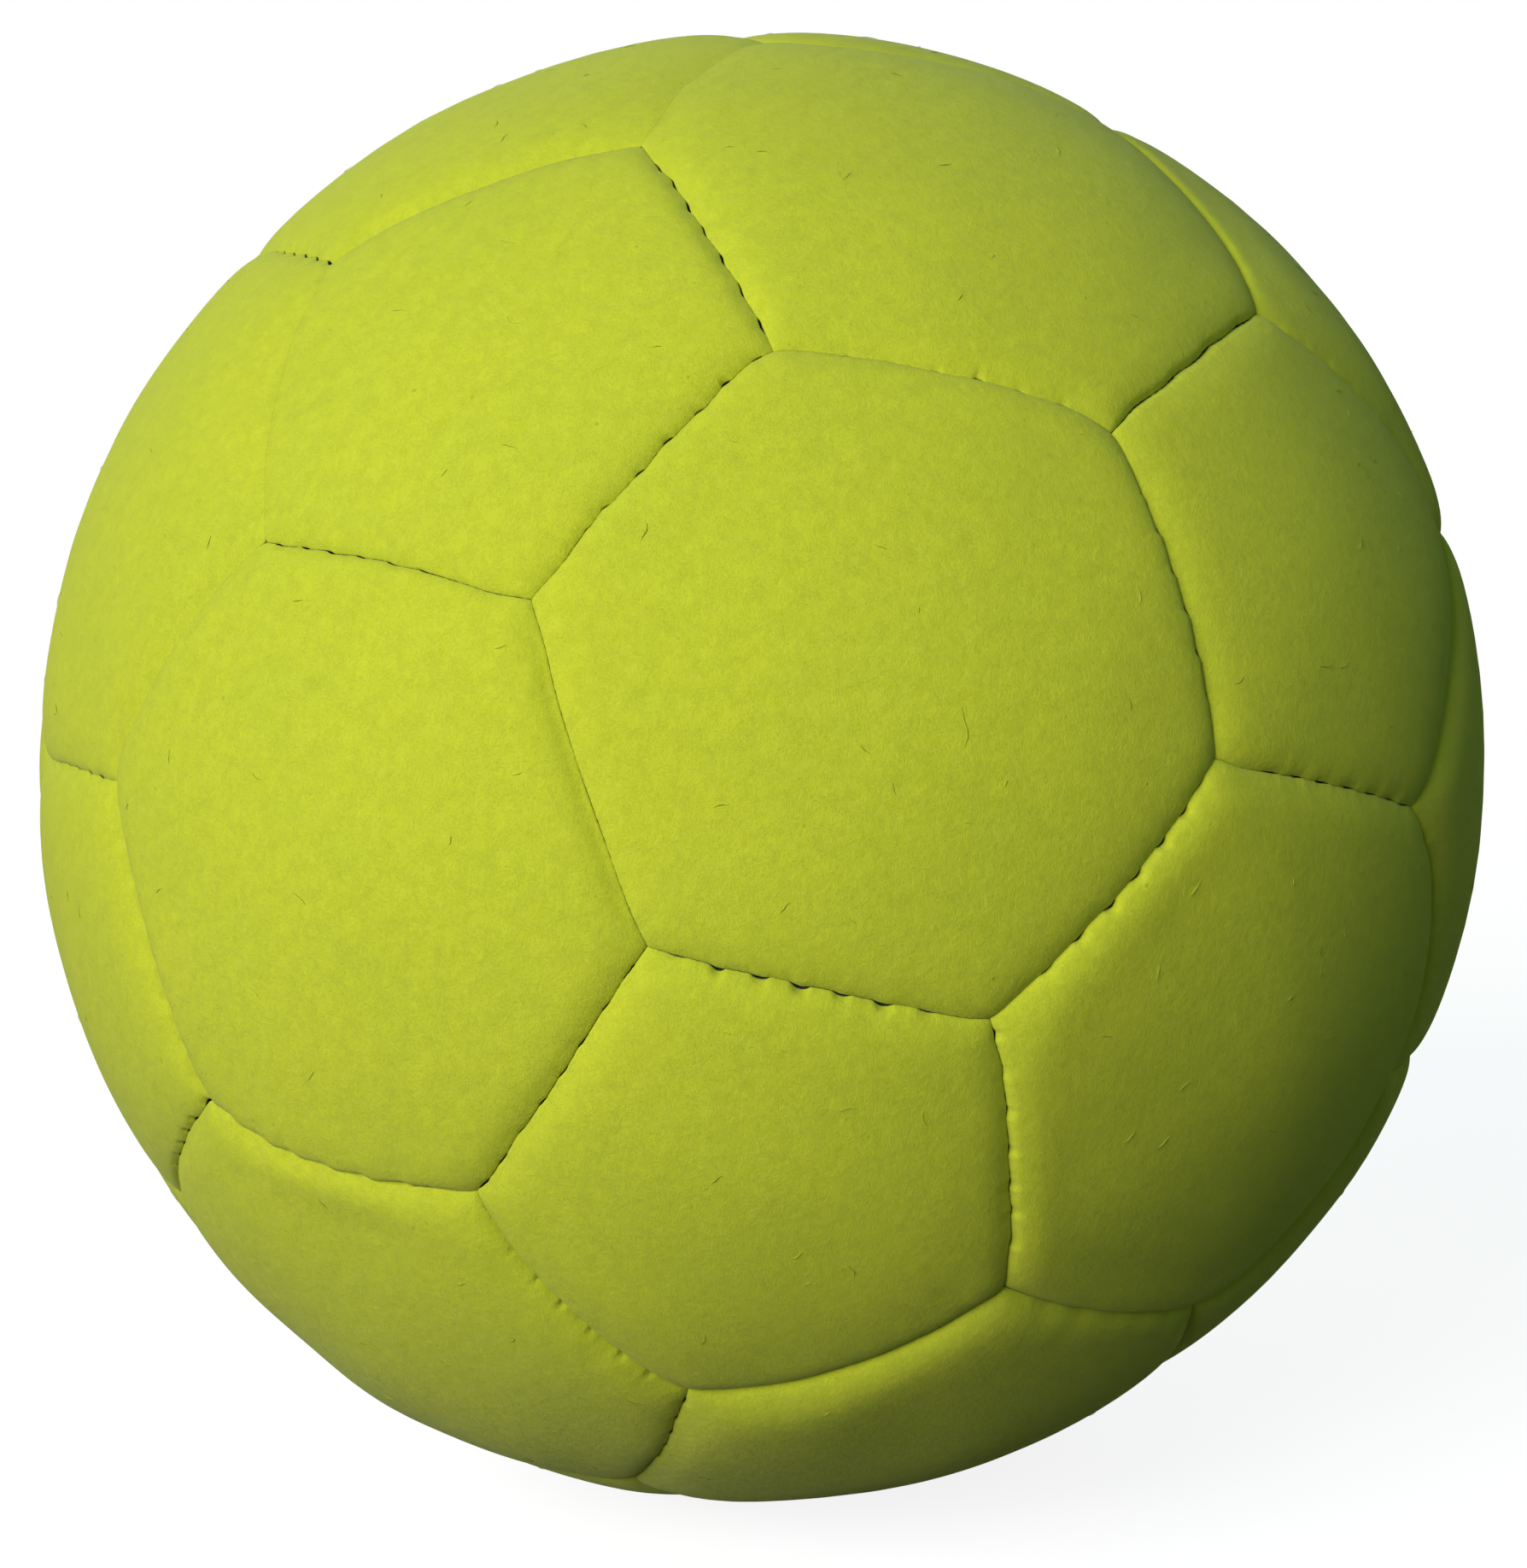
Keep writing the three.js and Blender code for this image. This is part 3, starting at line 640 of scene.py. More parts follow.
class Rings:
    """A skin built ring by ring."""

    def __init__(self):
        # deep and edge hold the painted shade of each point: deep in the seams, and slight beside them.
        self.points, self.deep, self.edge = [], [], []
        self.faces, self.finish = [], []
        self.last = None
        self.count = 0

    def ring(self, points, deep=0.0, edge=0.0, finish=0):
        size = len(points)
        here = self.count + np.arange(size)
        self.points.append(points)
        self.deep.append(np.broadcast_to(deep, size))
        self.edge.append(np.broadcast_to(edge, size))
        self.count += size
        if self.last is not None:
            self.band(self.last, here, finish)
        self.last = here

    def band(self, outer, inner, finish):
        """Faces that look outward when the second ring lies to the left of the first."""
        many, few = (outer, inner) if len(outer) >= len(inner) else (inner, outer)
        ratio = len(many) // len(few)
        made = []
        for number in range(len(few)):
            a, b = few[number], few[(number + 1) % len(few)]
            run = [many[(number * ratio + step) % len(many)] for step in range(ratio + 1)]
            if ratio == 1:
                made.append((run[0], run[1], b, a))
            else:
                half = ratio // 2
                made += [(run[step], run[step + 1], a) for step in range(half)]
                made.append((run[half], b, a))
                made += [(run[step], run[step + 1], b) for step in range(half, ratio)]
        if many is inner:
            made = [tuple(reversed(face)) for face in made]
        self.add(made, finish)

    def add(self, faces, finish):
        self.faces += faces
        self.finish += [finish] * len(faces)

    def tip(self, point, deep=0.0, finish=0):
        """Closes the skin on one point."""
        before, self.last = self.last, None
        self.ring(np.asarray(point, float)[None], deep)
        size = len(before)
        here = self.count - 1
        self.add([(before[n], before[(n + 1) % size], here) for n in range(size)], finish)

    def flip(self, first_face):
        self.faces[first_face:] = [tuple(reversed(face)) for face in self.faces[first_face:]]


def mesh_object(name, points, faces, materials, finish=None, floats=None):
    mesh = bpy.data.meshes.new(name)
    faces = [tuple(int(v) for v in face) for face in faces]
    mesh.from_pydata((np.asarray(points) * MM).tolist(), [], faces)
    mesh.polygons.foreach_set("use_smooth", [True] * len(mesh.polygons))
    for item in materials:
        mesh.materials.append(item)
    if finish is not None:
        mesh.polygons.foreach_set("material_index", finish)
    for label, values in (floats or {}).items():
        attribute = mesh.attributes.new(label, "FLOAT", "POINT")
        attribute.data.foreach_set("value", np.asarray(values, np.float32))
    mesh.update()
    made = bpy.data.objects.new(name, mesh)
    bpy.context.scene.collection.objects.link(made)
    return made


def adopt(piece, slot, *nodes):
    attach(piece, "root")
    if nodes:
        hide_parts(*nodes)
    return piece


def recalculate(made):
    """Turns all faces outward."""
    shape = bmesh.new()
    shape.from_mesh(made.data)
    bmesh.ops.recalc_face_normals(shape, faces=shape.faces)
    shape.to_mesh(made.data)
    shape.free()


def tube(count, size, closed):
    """Faces over count rings of size points: a closed loop, or a rod with its ends capped."""
    faces = []
    for number in range(count if closed else count - 1):
        here, after = number * size, (number + 1) % count * size
        for k in range(size):
            j = (k + 1) % size
            faces.append((here + k, after + k, after + j, here + j))
    if not closed:
        faces.append(tuple(range(size)))
        faces.append(tuple(reversed(range((count - 1) * size, count * size))))
    return faces


def joined(pieces):
    """The points and faces of several pieces as one."""
    points, faces, base = [], [], 0
    for piece_points, piece_faces in pieces:
        points.append(piece_points)
        faces += [tuple(base + v for v in face) for face in piece_faces]
        base += len(piece_points)
    return np.concatenate(points), faces


# Rings on the felt's face: points on each side, and how far inside the seams.
FACE_RINGS = [
    (128, (0.0, 0.09, 0.2, 0.36, 0.58, 0.86, 1.2, 1.65, 2.2)),
    (64, (2.9, 3.8, 5.0, 6.4, 8.2)),
    (32, (10.4, 13.0, 16.0)),
]
LAST_INSET = FACE_RINGS[-1][1][-1]
# The rings further in, by their share of the rest of the way to the middle.
MIDDLE_RINGS = [(16, (0.22, 0.46)), (8, (0.68, 0.86))]
# Rings below the lip: how far below it, and how deep in shade.
LIP_RINGS = ((0.18, 0.6), (0.5, 1.0))
# Rings down the channel and round the folded end, with the share of the sewing's shifts that each
# follows, and its material.
TURN_IN_RINGS = (
    (64, 0.03, CHANNEL_TOP, 0.9, 0), (32, CHANNEL, THREAD_LINE, 0.6, 0),
    (32, TURN_IN_GAP, CHANNEL_FLOOR, 0.3, 0), (32, TURN_IN_GAP, TURN_IN, 0.0, 0),
    (16, TURN_IN_DEPTH, TURN_IN, 0.0, 1), (16, TURN_IN_DEPTH, UNDERSIDE, 0.0, 1),
    (8, 15.0, UNDERSIDE, 0.0, 1),
)
HOLE_RINGS = (18.0, 14.0, 10.5, 8.0, 6.9)
HOLE_LIP_RINGS = ((0.55, 0.1), (0.25, 0.3), (0.05, 0.65), (0.0, 1.1), (0.0, 1.9))
HOLE_SINK = 0.32         # the felt at the valve lies this far below the crown
SUNK_START = 2.5         # depth below the crown where the shade in the seams begins
EDGE_SHADE_REACH = 1.6          # reach of the slight shade painted into the felt beside the seams


def panel_object(panel, materials):
    skin = Rings()
    pierced = panel.name == "hexagon_panel_valve"
    for per_side, insets in FACE_RINGS:
        for inset in insets:
            add_face_ring(skin, panel, panel.inset(per_side, inset), inset)
    if pierced:
        add_valve_hole(skin, panel)
    else:
        for per_side, shares in MIDDLE_RINGS:
            for share in shares:
                inset = LAST_INSET + share * (panel.half_width - LAST_INSET)
                add_face_ring(skin, panel, panel.inset(per_side, inset), inset)
        middle = panel.middle[None]
        skin.tip(felt_radius(panel, middle)[0] * panel.shaped(middle)[0])
    add_turned_in_edge(skin, panel, pierced)
    made = mesh_object(
        panel.name.replace("panel", "felt"), np.concatenate(skin.points), skin.faces, materials,
        skin.finish, {"deep": np.concatenate(skin.deep), "edge": np.concatenate(skin.edge)},
    )
    return adopt(made, "felt", panel.name)


def sunk(radius):
    """How deep a point lies in the seams, from 0 on the face to 1: the share of painted shade that the
    felt's colour gets there.
    """
    return np.clip(CROWN - SUNK_START - radius, 0, 1)


def add_face_ring(skin, panel, flat, inset):
    radius = felt_radius(panel, flat)
    # depth is the painted shade that the felt's colour gets deep in the seams.
    depth = sunk(radius - roundness(flat))
    # The last value is the slight painted shade beside the seams, fading inward from them.
    skin.ring(radius[:, None] * panel.shaped(flat), depth, math.exp(-inset / EDGE_SHADE_REACH))


def add_turned_in_edge(skin, panel, pierced):
    """From the lips down to the thread's channel, the folded end and the laminate's inner side."""
    first = len(skin.faces)
    lip = panel.inset(128, 0.0)
    lip_radius = felt_radius(panel, lip)
    skin.last = np.arange(len(lip))
    for below, deep in LIP_RINGS:
        skin.ring((lip_radius - below)[:, None] * panel.shaped(lip), deep)
    # The folded-in felt and the laminate's inner side get the full painted shade.
    for per_side, inset, radius, share, finish in TURN_IN_RINGS:
        flat = panel.inset(per_side, inset)
        hung = panel.shaped(flat, panel.inset(per_side, 0.0), share)
        skin.ring((radius + roundness(flat))[:, None] * hung, 1.0, finish=finish)
    if pierced:
        add_patch_seat(skin, panel)
    else:
        middle = panel.middle[None]
        skin.tip((UNDERSIDE + roundness(middle)[0]) * panel.middle, 1.0, finish=1)
    skin.flip(first)


def circle(panel, across, height):
    """A true circle about the panel's middle, its points in step with the rim's."""
    return panel.middle * height + unit(panel.rim(16)) * across


def add_valve_hole(skin, panel):
    outer = panel.half_width - LAST_INSET
    for across in HOLE_RINGS:
        round_share = smooth(outer, 13.0, across)
        even = panel.inset(16, panel.half_width - across)
        ring = unit(circle(panel, across, CROWN))
        add_face_ring(skin, panel, unit((1 - round_share) * even + round_share * ring), 20.0)
    # The felt round the valve hole gets painted shade as it dips in.
    for inset, dip in HOLE_LIP_RINGS:
        skin.ring(circle(panel, VALVE_HOLE + inset, CROWN - HOLE_SINK - dip), 0.3 * dip)
    skin.ring(circle(panel, VALVE_HOLE, UNDERSIDE), 1.0, finish=1)


def add_patch_seat(skin, panel):
    """Under the panel: the sphere of the backing, the flat that the patch is glued to, the hole."""
    rise = math.sqrt(UNDERSIDE ** 2 - PATCH_SEAT ** 2)
    for across, height in (
        (PATCH_SEAT + 0.4, rise - 0.08), (PATCH_SEAT, rise + 0.3), (PATCH_SEAT, UNDERSIDE - 0.2),
        (PATCH_SEAT - 0.3, UNDERSIDE), (VALVE_HOLE, UNDERSIDE),
    ):
        skin.ring(circle(panel, across, height), 1.0, finish=1)


# ---- the sewing thread ----

PLY_POINTS = 10
THREAD_RADIUS = 0.5
TWIST = 3.2
STITCH_DIP = 0.16


def thread_run(path_points, sideways, closed):
    """A two-ply cord along a path of points, its section turning as it goes."""
    count = len(path_points)
    steps = np.linalg.norm(np.roll(path_points, -1, axis=0) - path_points, axis=1)
    run = np.concatenate([[0], np.cumsum(steps)[:-1]])
    whole = steps.sum() if closed else run[-1]
    turns = max(1, round(whole / TWIST))
    twist = 2 * math.pi * turns * run / whole
    radial = unit(path_points)
    across = unit(sideways)
    angles = np.linspace(0, 2 * math.pi, PLY_POINTS, endpoint=False)
    size = THREAD_RADIUS * (0.8 + 0.2 * np.cos(2 * angles))
    rings = []
    for number in range(count):
        turned = angles + twist[number]
        rings.append(
            path_points[number]
            + np.outer(size * np.cos(turned), radial[number])
            + np.outer(size * np.sin(turned), across[number])
        )
    return np.concatenate(rings), tube(count, PLY_POINTS, closed)


def seam_path(seam, start, end, stop_short=0.0):
    """Points along a seam on the thread line, dipping at every stitch, and the way to its left."""
    count = 100
    share = np.arange(count) / count * (1 - stop_short / seam.length)
    flat = arc(corner_point(start), corner_point(end), share)
    along, _ = seam.place(flat)
    moved = flat + (seam.wave(along) + seam.bow(along, 0.0))[:, None] * seam.left / CROWN
    dip = STITCH_DIP * np.cos(2 * math.pi * along / STITCH) * seam.inside(along)
    radius = THREAD_LINE + roundness(flat) - dip
    return pulled((start, end), flat, moved) * radius[:, None], np.tile(seam.left, (count, 1))


def spokes_of(a):
    """The pentagons that this one's thread runs towards: each seam between hexagons has one thread."""
    def mine(b):
        ahead = (b - a) % 12
        return ahead < 6 or (ahead == 6 and a > b)
    return [b for b in NEIGHBOURS[a] if mine(b)]


def thread_object(a, material):
    paths, sides = [], []
    for start, end in sides_of(in_order(PENTAGONS[a], [(a, b) for b in NEIGHBOURS[a]])):
        seam = SEAMS[frozenset((start, end))]
        path, side = seam_path(seam, start, end)
        paths.append(path)
        sides.append(side * (1 if PENTAGONS[a] @ seam.left > 0 else -1))
    pieces = [thread_run(np.concatenate(paths), np.concatenate(sides), True)]
    for b in spokes_of(a):
        path, side = seam_path(SEAMS[frozenset(((a, b), (b, a)))], (a, b), (b, a), stop_short=0.9)
        pieces.append(thread_run(path, side, False))
    made = mesh_object(f"stitching_{a + 1:02d}", *joined(pieces), [material])
    recalculate(made)
    return adopt(made, "thread", f"seam_thread_{a + 1:02d}")


# ---- bladder and valve ----

def rounded(outline, radius, steps=4):
    """A closed outline with each corner replaced by a small arc."""
    result = []
    count = len(outline)
    for number in range(count):
        before, here, after = (np.array(outline[(number + k) % count], float) for k in (-1, 0, 1))
        reach = min(radius, np.linalg.norm(before - here) / 2.2, np.linalg.norm(after - here) / 2.2)
        if here[0] < 1e-6:
            result.append(here)
            continue
        start = here + unit(before - here) * reach
        end = here + unit(after - here) * reach
        for t in np.linspace(0, 1, steps + 1):
            result.append((1 - t) ** 2 * start + 2 * t * (1 - t) * here + t ** 2 * end)
    return result


def lathe_object(name, outline, rounds, material, closed=True, wobble=None):
    """Turns an outline of (distance from the valve axis, height along it) about the valve axis."""
    angles = np.linspace(0, 2 * math.pi, rounds, endpoint=False)
    points, rows = [], []
    for across, height in outline:
        turned = [(across * math.cos(angle), height, across * math.sin(angle)) for angle in angles]
        if across < 1e-6:
            turned = [(0, height, 0)]
        rows.append(range(len(points), len(points) + len(turned)))
        points += turned
    faces = []
    for one, other in zip(rows, rows[1:] + rows[:1] if closed else rows[1:]):
        for k in range(rounds):
            j = (k + 1) % rounds
            face = [one[k % len(one)], one[j % len(one)], other[j % len(other)], other[k % len(other)]]
            face = list(dict.fromkeys(face))
            if len(face) > 2:
                faces.append(face)
    points = np.array(points, float)
    if wobble is not None:
        points = wobble(points)
    made = mesh_object(name, points, faces, [material])
    recalculate(made)
    return made


def sphere_outline(radius, angles):
    return [(radius * math.sin(t), radius * math.cos(t)) for t in angles]


def add_bladder(material):
    inner = BLADDER - BLADDER_WALL
    outer_arc = np.linspace(math.asin(BLADDER_HOLE / BLADDER), math.pi, 90)
    inner_arc = np.linspace(math.pi, math.asin(BLADDER_HOLE / inner), 60)
    outline = sphere_outline(BLADDER, outer_arc[:-1]) + [(0, -BLADDER), (0, -inner)]
    outline += sphere_outline(inner, inner_arc[1:])
    slack = Swell(np.random.default_rng(5), 30, 9, 40)

    def wobble(points):
        directions = unit(points)
        calm = smooth(0.99, 0.97, directions @ VALVE_AXIS)
        mould_line = 0.1 * bell(points[:, 0], 0.5)
        away = roundness(directions) + calm * (0.1 * slack(points) + mould_line) - 0.22
        return points + directions * (calm * away)[:, None]

    made = lathe_object("bladder_shell", outline, 144, material, wobble=wobble)
    adopt(made, "bladder_rubber", "bladder")


def add_valve(rubber, plug_rubber, cloth):
    stem_end = BLADDER - 17
    patch_top = UNDERSIDE - 0.3
    patch_low = patch_top - PATCH_THICKNESS
    flange_top = patch_low - 0.3
    bore, face, flange, stem = 3.0, 5.5, 15.0, 4.8

    def seat(across):
        return math.sqrt(BLADDER ** 2 - across ** 2) + 0.3

    outline = [(bore, stem_end), (stem, stem_end)]
    outline += [(across, seat(across)) for across in (stem, 7, 10, 13, flange)]
    outline += [
        (flange, seat(flange) + 1.1), (10, flange_top - 0.25), (face, flange_top),
        (face, VALVE_FACE - 0.1), (face - 0.5, VALVE_FACE), (4.3, VALVE_FACE), (4.0, VALVE_FACE - 0.18),
        (3.7, VALVE_FACE - 0.18), (3.5, VALVE_FACE), (bore, VALVE_FACE),
    ]
    made = lathe_object("needle_valve", rounded(outline, 0.35), 96, rubber)
    adopt(made, "valve_rubber", "valve_body")
    top = VALVE_FACE - 0.4
    plug = rounded([
        (0, stem_end + 0.1), (2.7, stem_end + 0.1), (2.7, top), (1.5, top), (0.9, top - 0.45),
        (0.9, top - 3.5), (0, top - 4.4),
    ], 0.25)
    made = lathe_object("needle_plug", plug, 72, plug_rubber, closed=False)
    adopt(made, "plug_rubber", "valve_plug")
    ring = [(VALVE_HOLE, patch_low), (PATCH, patch_low), (PATCH, patch_top), (VALVE_HOLE, patch_top)]
    frayed = Swell(np.random.default_rng(9), 24, 1.2, 5)

    def fray(points):
        rim = smooth(PATCH - 0.8, PATCH, np.hypot(points[:, 0], points[:, 2]))
        points[:, [0, 2]] *= (1 - 0.006 * rim * (1 + frayed(points)))[:, None]
        return points

    made = lathe_object("reinforcing_patch", rounded(ring, 0.3), 160, cloth, wobble=fray)
    adopt(made, "patch_cloth", "valve_patch")


# ---- stray fibres on the felt ----

# Three that stand out in the front, by place on the ball (right, up, of its radius), length and lean.
SEEN_FIBRES = [((0.2215, 0.0650), 5.6, -1.45), ((-0.544, 0.2), 2.0, -0.8), ((0.2225, -0.061), 1.8, 0.4)]
FIBRE_COUNT = 340
FIBRE_RADIUS = 0.048
FIBRE_STEPS = 9


def fibre(draw, direction, length, lean, east):
    """A thin curved hair lying on the felt."""
    panel = PANELS[int(np.argmax(PANEL_MIDDLES @ direction))]
    north = unit(np.cross(direction, east))
    east = np.cross(north, direction)
    heading = lean
    place = direction * CROWN
    path = []
    for number, bend in enumerate(draw.normal(0, 0.16, FIBRE_STEPS)):
        path.append(unit(place))
        heading += bend + 0.1 * math.sin(number)
        step = (math.cos(heading) * east + math.sin(heading) * north) * length / FIBRE_STEPS
        place = unit(place) * CROWN + step
    path = np.array(path)
    arch = np.sin(np.linspace(0, math.pi, FIBRE_STEPS))
    path = panel.shaped(path) * (felt_radius(panel, path) + 0.03 + 0.05 * arch)[:, None]
    thick = FIBRE_RADIUS * np.sin(np.linspace(0.5, math.pi - 0.25, FIBRE_STEPS))[:, None]
    radial = unit(path)
    across = np.cross(radial, unit(np.gradient(path, axis=0)))
    corners = [path + thick * way for way in (across, radial, -across, -radial)]
    faces = [tuple(reversed(face)) for face in tube(FIBRE_STEPS, 4, False)]
    return np.stack(corners, axis=1).reshape(-1, 3), faces


def add_fibres(material):
    draw = np.random.default_rng(230)
    pieces = []
    for (right, up), length, lean in SEEN_FIBRES:
        direction = unit(right * RIGHT + up * UP + math.sqrt(1 - right ** 2 - up ** 2) * BACK)
        pieces.append(fibre(draw, direction, length, lean, RIGHT))
    while len(pieces) < FIBRE_COUNT + len(SEEN_FIBRES):
        direction = unit(draw.normal(size=3))
        panel = PANELS[int(np.argmax(PANEL_MIDDLES @ direction))]
        clear = min(side * seam.place(direction[None])[1][0] for seam, side in panel.sides)
        length = draw.uniform(0.9, 3.0)
        if clear > 2.5 + length and direction @ VALVE_AXIS < 0.97:
            east = unit(np.cross(direction, [0.2, 0.1, 1]))
            pieces.append(fibre(draw, direction, length, draw.uniform(0, 6.28), east))
    adopt(mesh_object("stray_fibres", *joined(pieces), [material]), "felt")


# ---- materials ----

class Graph:
    """Short ways to put nodes into a material or a world."""

    def __init__(self, owner):
        owner.use_nodes = True
        self.owner = owner
        self.tree = owner.node_tree
        self.tree.nodes.clear()

    def node(self, kind, inputs=None, **settings):
        made = self.tree.nodes.new(kind)
        for key, value in settings.items():
            setattr(made, key, value)
        for key, value in (inputs or {}).items():
            if isinstance(value, bpy.types.NodeSocket):
                self.tree.links.new(value, made.inputs[key])
            else:
                made.inputs[key].default_value = value
        return made

    def math(self, operation, *values):
        return self.node("ShaderNodeMath", dict(enumerate(values)), operation=operation).outputs[0]

    def vector(self, operation, *vectors):
        made = self.node("ShaderNodeVectorMath", dict(enumerate(vectors)), operation=operation)
        return made.outputs[0]

    def scaled(self, vector, scale):
        made = self.node("ShaderNodeVectorMath", {0: vector, "Scale": scale}, operation="SCALE")
        return made.outputs[0]

    def place(self):
        return self.node("ShaderNodeTexCoord").outputs["Object"]

    def noise(self, place, scale, detail=2.0, roughness=0.5, output="Fac"):
        return self.node("ShaderNodeTexNoise", {
            "Vector": place, "Scale": scale, "Detail": detail, "Roughness": roughness,
        }).outputs[output]

    def stretched(self, place, turn, size):
        """Coordinates in which features of this size, in millimetres, come out as one unit."""
        inputs = {"Vector": place, "Rotation": turn, "Scale": size}
        return self.node("ShaderNodeMapping", inputs, vector_type="TEXTURE").outputs[0]

    def ramp(self, value, low, high, to_low=0.0, to_high=1.0):
        return self.node("ShaderNodeMapRange", {
            "Value": value, "From Min": low, "From Max": high, "To Min": to_low, "To Max": to_high,
        }, interpolation_type="SMOOTHSTEP").outputs[0]

    def mix(self, share, one, other):
        return self.node("ShaderNodeMix", {0: share, 6: one, 7: other}, data_type="RGBA").outputs[2]

    def mixed_shaders(self, share, one, other):
        return self.node("ShaderNodeMixShader", {0: share, 1: one, 2: other}).outputs[0]

    def lit(self, kind, colour, strength=None):
        inputs = {"Color": colour} if strength is None else {"Color": colour, "Strength": strength}
        return self.node(kind, inputs).outputs[0]

    def attribute(self, name):
        return self.node("ShaderNodeAttribute", attribute_name=name).outputs["Fac"]

    def bump(self, height, distance, strength):
        inputs = {"Height": height, "Distance": distance, "Strength": strength}
        return self.node("ShaderNodeBump", inputs).outputs[0]

    def finish(self, **inputs):
        inputs = {key.replace("_", " "): value for key, value in inputs.items()}
        shader = self.node("ShaderNodeBsdfPrincipled", inputs)
        self.node("ShaderNodeOutputMaterial", {"Surface": shader.outputs[0]})
        return self.owner


def start_material(name):
    """A new material's graph, and the place on the ball in millimetres."""
    g = Graph(bpy.data.materials.new(name))
    return g, g.scaled(g.place(), 1 / MM)


def rgb(red, green, blue):
    return (red, green, blue, 1.0)


def grey(value):
    return rgb(value, value, value)


FELT_LIGHT = rgb(0.672, 0.719, 0.043)
FELT_GREEN = rgb(0.648, 0.705, 0.044)
# Painted shade: the felt's colour deep in the seams, on the folded-in edge and round the valve hole.
FELT_SEAM_SHADE = rgb(0.034, 0.042, 0.006)
# Layers of felt strands: how they are turned, and their width and length in millimetres.
STRANDS = (
    ((0.25, 0.1, 0.0), 0.32, 3.2), ((1.25, 0.4, 0.7), 0.28, 2.2),
    ((-0.8, 1.1, 0.3), 0.25, 2.0), ((0.7, -1.0, 1.4), 0.30, 2.6),
)


def felt_strands(g, place):
    """1 along the strands that lie on top."""
    curl = g.vector("ADD", place, g.scaled(g.noise(place, 0.28, 1.0, output="Color"), 3.0))
    strands = 0.0
    for turn, width, length in STRANDS:
        streak = g.noise(g.stretched(curl, turn, (width, width, length)), 1.0, 1.0)
        ridge = g.math("ABSOLUTE", g.math("SUBTRACT", streak, 0.5))
        strands = g.math("MAXIMUM", strands, g.ramp(ridge, 0.07, 0.0))
    return strands


def felt_pits(g, place):
    """1 in the few small pits."""
    cells = g.node("ShaderNodeTexVoronoi", {"Vector": place, "Scale": 0.23, "Randomness": 1.0}).outputs
    lot = g.node("ShaderNodeSeparateColor", {"Color": cells["Color"]}).outputs[0]
    return g.math("MULTIPLY", g.ramp(cells["Distance"], 0.085, 0.03), g.ramp(lot, 0.80, 0.84))


def felt_material():
    g, place = start_material("brushed_felt")
    wander = g.noise(place, 0.055)
    mottle = g.noise(place, 0.33, 3.0, 0.55)
    pills = g.noise(place, 0.95)
    grain = g.noise(place, 2.4, 2.0, 0.6)
    fine = g.noise(place, 6.5, 1.0)
    strands, pits = felt_strands(g, place), felt_pits(g, place)
    value = 1.0
    for source, *limits in (
        (mottle, 0.3, 0.7, 0.994, 1.005), (grain, 0.25, 0.75, 0.988, 1.01),
        # pits: painted shade in the small pits, which the relief also dents
        (strands, 0.0, 1.0, 0.994, 1.012), (pits, 0.0, 1.0, 1.0, 0.84),
        # edge: slight painted shade beside the seams
        (g.attribute("edge"), 0.3, 1.0, 1.0, 0.97),
    ):
        value = g.math("MULTIPLY", value, g.ramp(source, *limits))
    colour = g.scaled(g.mix(g.ramp(wander, 0.35, 0.65), FELT_GREEN, FELT_LIGHT), value)
    richer = g.vector("MULTIPLY", colour, (1.0, 1.0, 0.86))
    colour = g.mix(g.ramp(g.noise(place, 0.6, 3.0, 0.6), 0.3, 0.7), colour, richer)
    # Painted shade: the felt goes dark where the deep attribute says it lies in the seams.
    colour = g.mix(g.ramp(g.attribute("deep"), 0.1, 0.8), colour, FELT_SEAM_SHADE)
    relief = 0.0
    for source, weight in (
        (strands, 0.4), (grain, 0.55), (fine, 0.2), (pits, -0.7), (pills, 1.3), (mottle, 1.3),
    ):
        relief = g.math("ADD", relief, g.math("MULTIPLY", source, weight))
    return g.finish(
        Base_Color=colour, Roughness=0.95, Specular_IOR_Level=0.05,
        Sheen_Weight=0.12, Sheen_Roughness=0.45, Sheen_Tint=rgb(0.72, 0.86, 1.0),
        Normal=g.bump(relief, 0.00007, 0.9),
    )


def woven_material(name, pitch, colours, soil, relief, **looks):
    """Plain weave in the plane across the valve axis. soil is the noise's scale and its limits."""
    g, place = start_material(name)
    parts = g.node("ShaderNodeSeparateXYZ", {0: place}).outputs
    across, along, down = (
        g.math("SINE", g.math("MULTIPLY", parts[axis], 2 * math.pi / pitch)) for axis in range(3)
    )
    checks = g.math("MULTIPLY", across, g.math("ADD", down, g.math("MULTIPLY", along, 0.7)))
    weave = g.ramp(checks, -1.0, 1.0)
    soil_scale, *limits = soil
    worn = g.ramp(g.noise(place, soil_scale, 3.0), 0.3, 0.7, *limits)
    colour = g.scaled(g.mix(weave, *colours), worn)
    return g.finish(Base_Color=colour, Normal=g.bump(weave, *relief), **looks)


def backing_material():
    return woven_material(
        "backing_cloth", 0.9, (rgb(0.42, 0.41, 0.36), rgb(0.66, 0.65, 0.58)), (0.2, 0.85, 1.05),
        (0.0001, 0.8), Roughness=0.9, Specular_IOR_Level=0.15,
    )


def patch_material():
    return woven_material(
        "patch_cotton", 1.1, (rgb(0.50, 0.46, 0.37), rgb(0.78, 0.74, 0.64)), (0.6, 0.88, 1.06),
        (0.00015, 0.9), Roughness=0.92, Specular_IOR_Level=0.12, Sheen_Weight=0.15,
    )


def thread_material():
    g, place = start_material("waxed_thread")
    strands = g.noise(g.stretched(place, (0.4, 0.9, 0.2), (0.12, 0.12, 1.1)), 1.0)
    colour = g.mix(g.ramp(strands, 0.3, 0.7), rgb(0.20, 0.22, 0.05), rgb(0.42, 0.45, 0.10))
    colour = g.scaled(colour, g.ramp(g.noise(place, 0.4), 0.3, 0.7, 0.8, 1.1))
    return g.finish(
        Base_Color=colour, Roughness=0.6, Specular_IOR_Level=0.35, Normal=g.bump(strands, 0.00004, 0.7),
    )


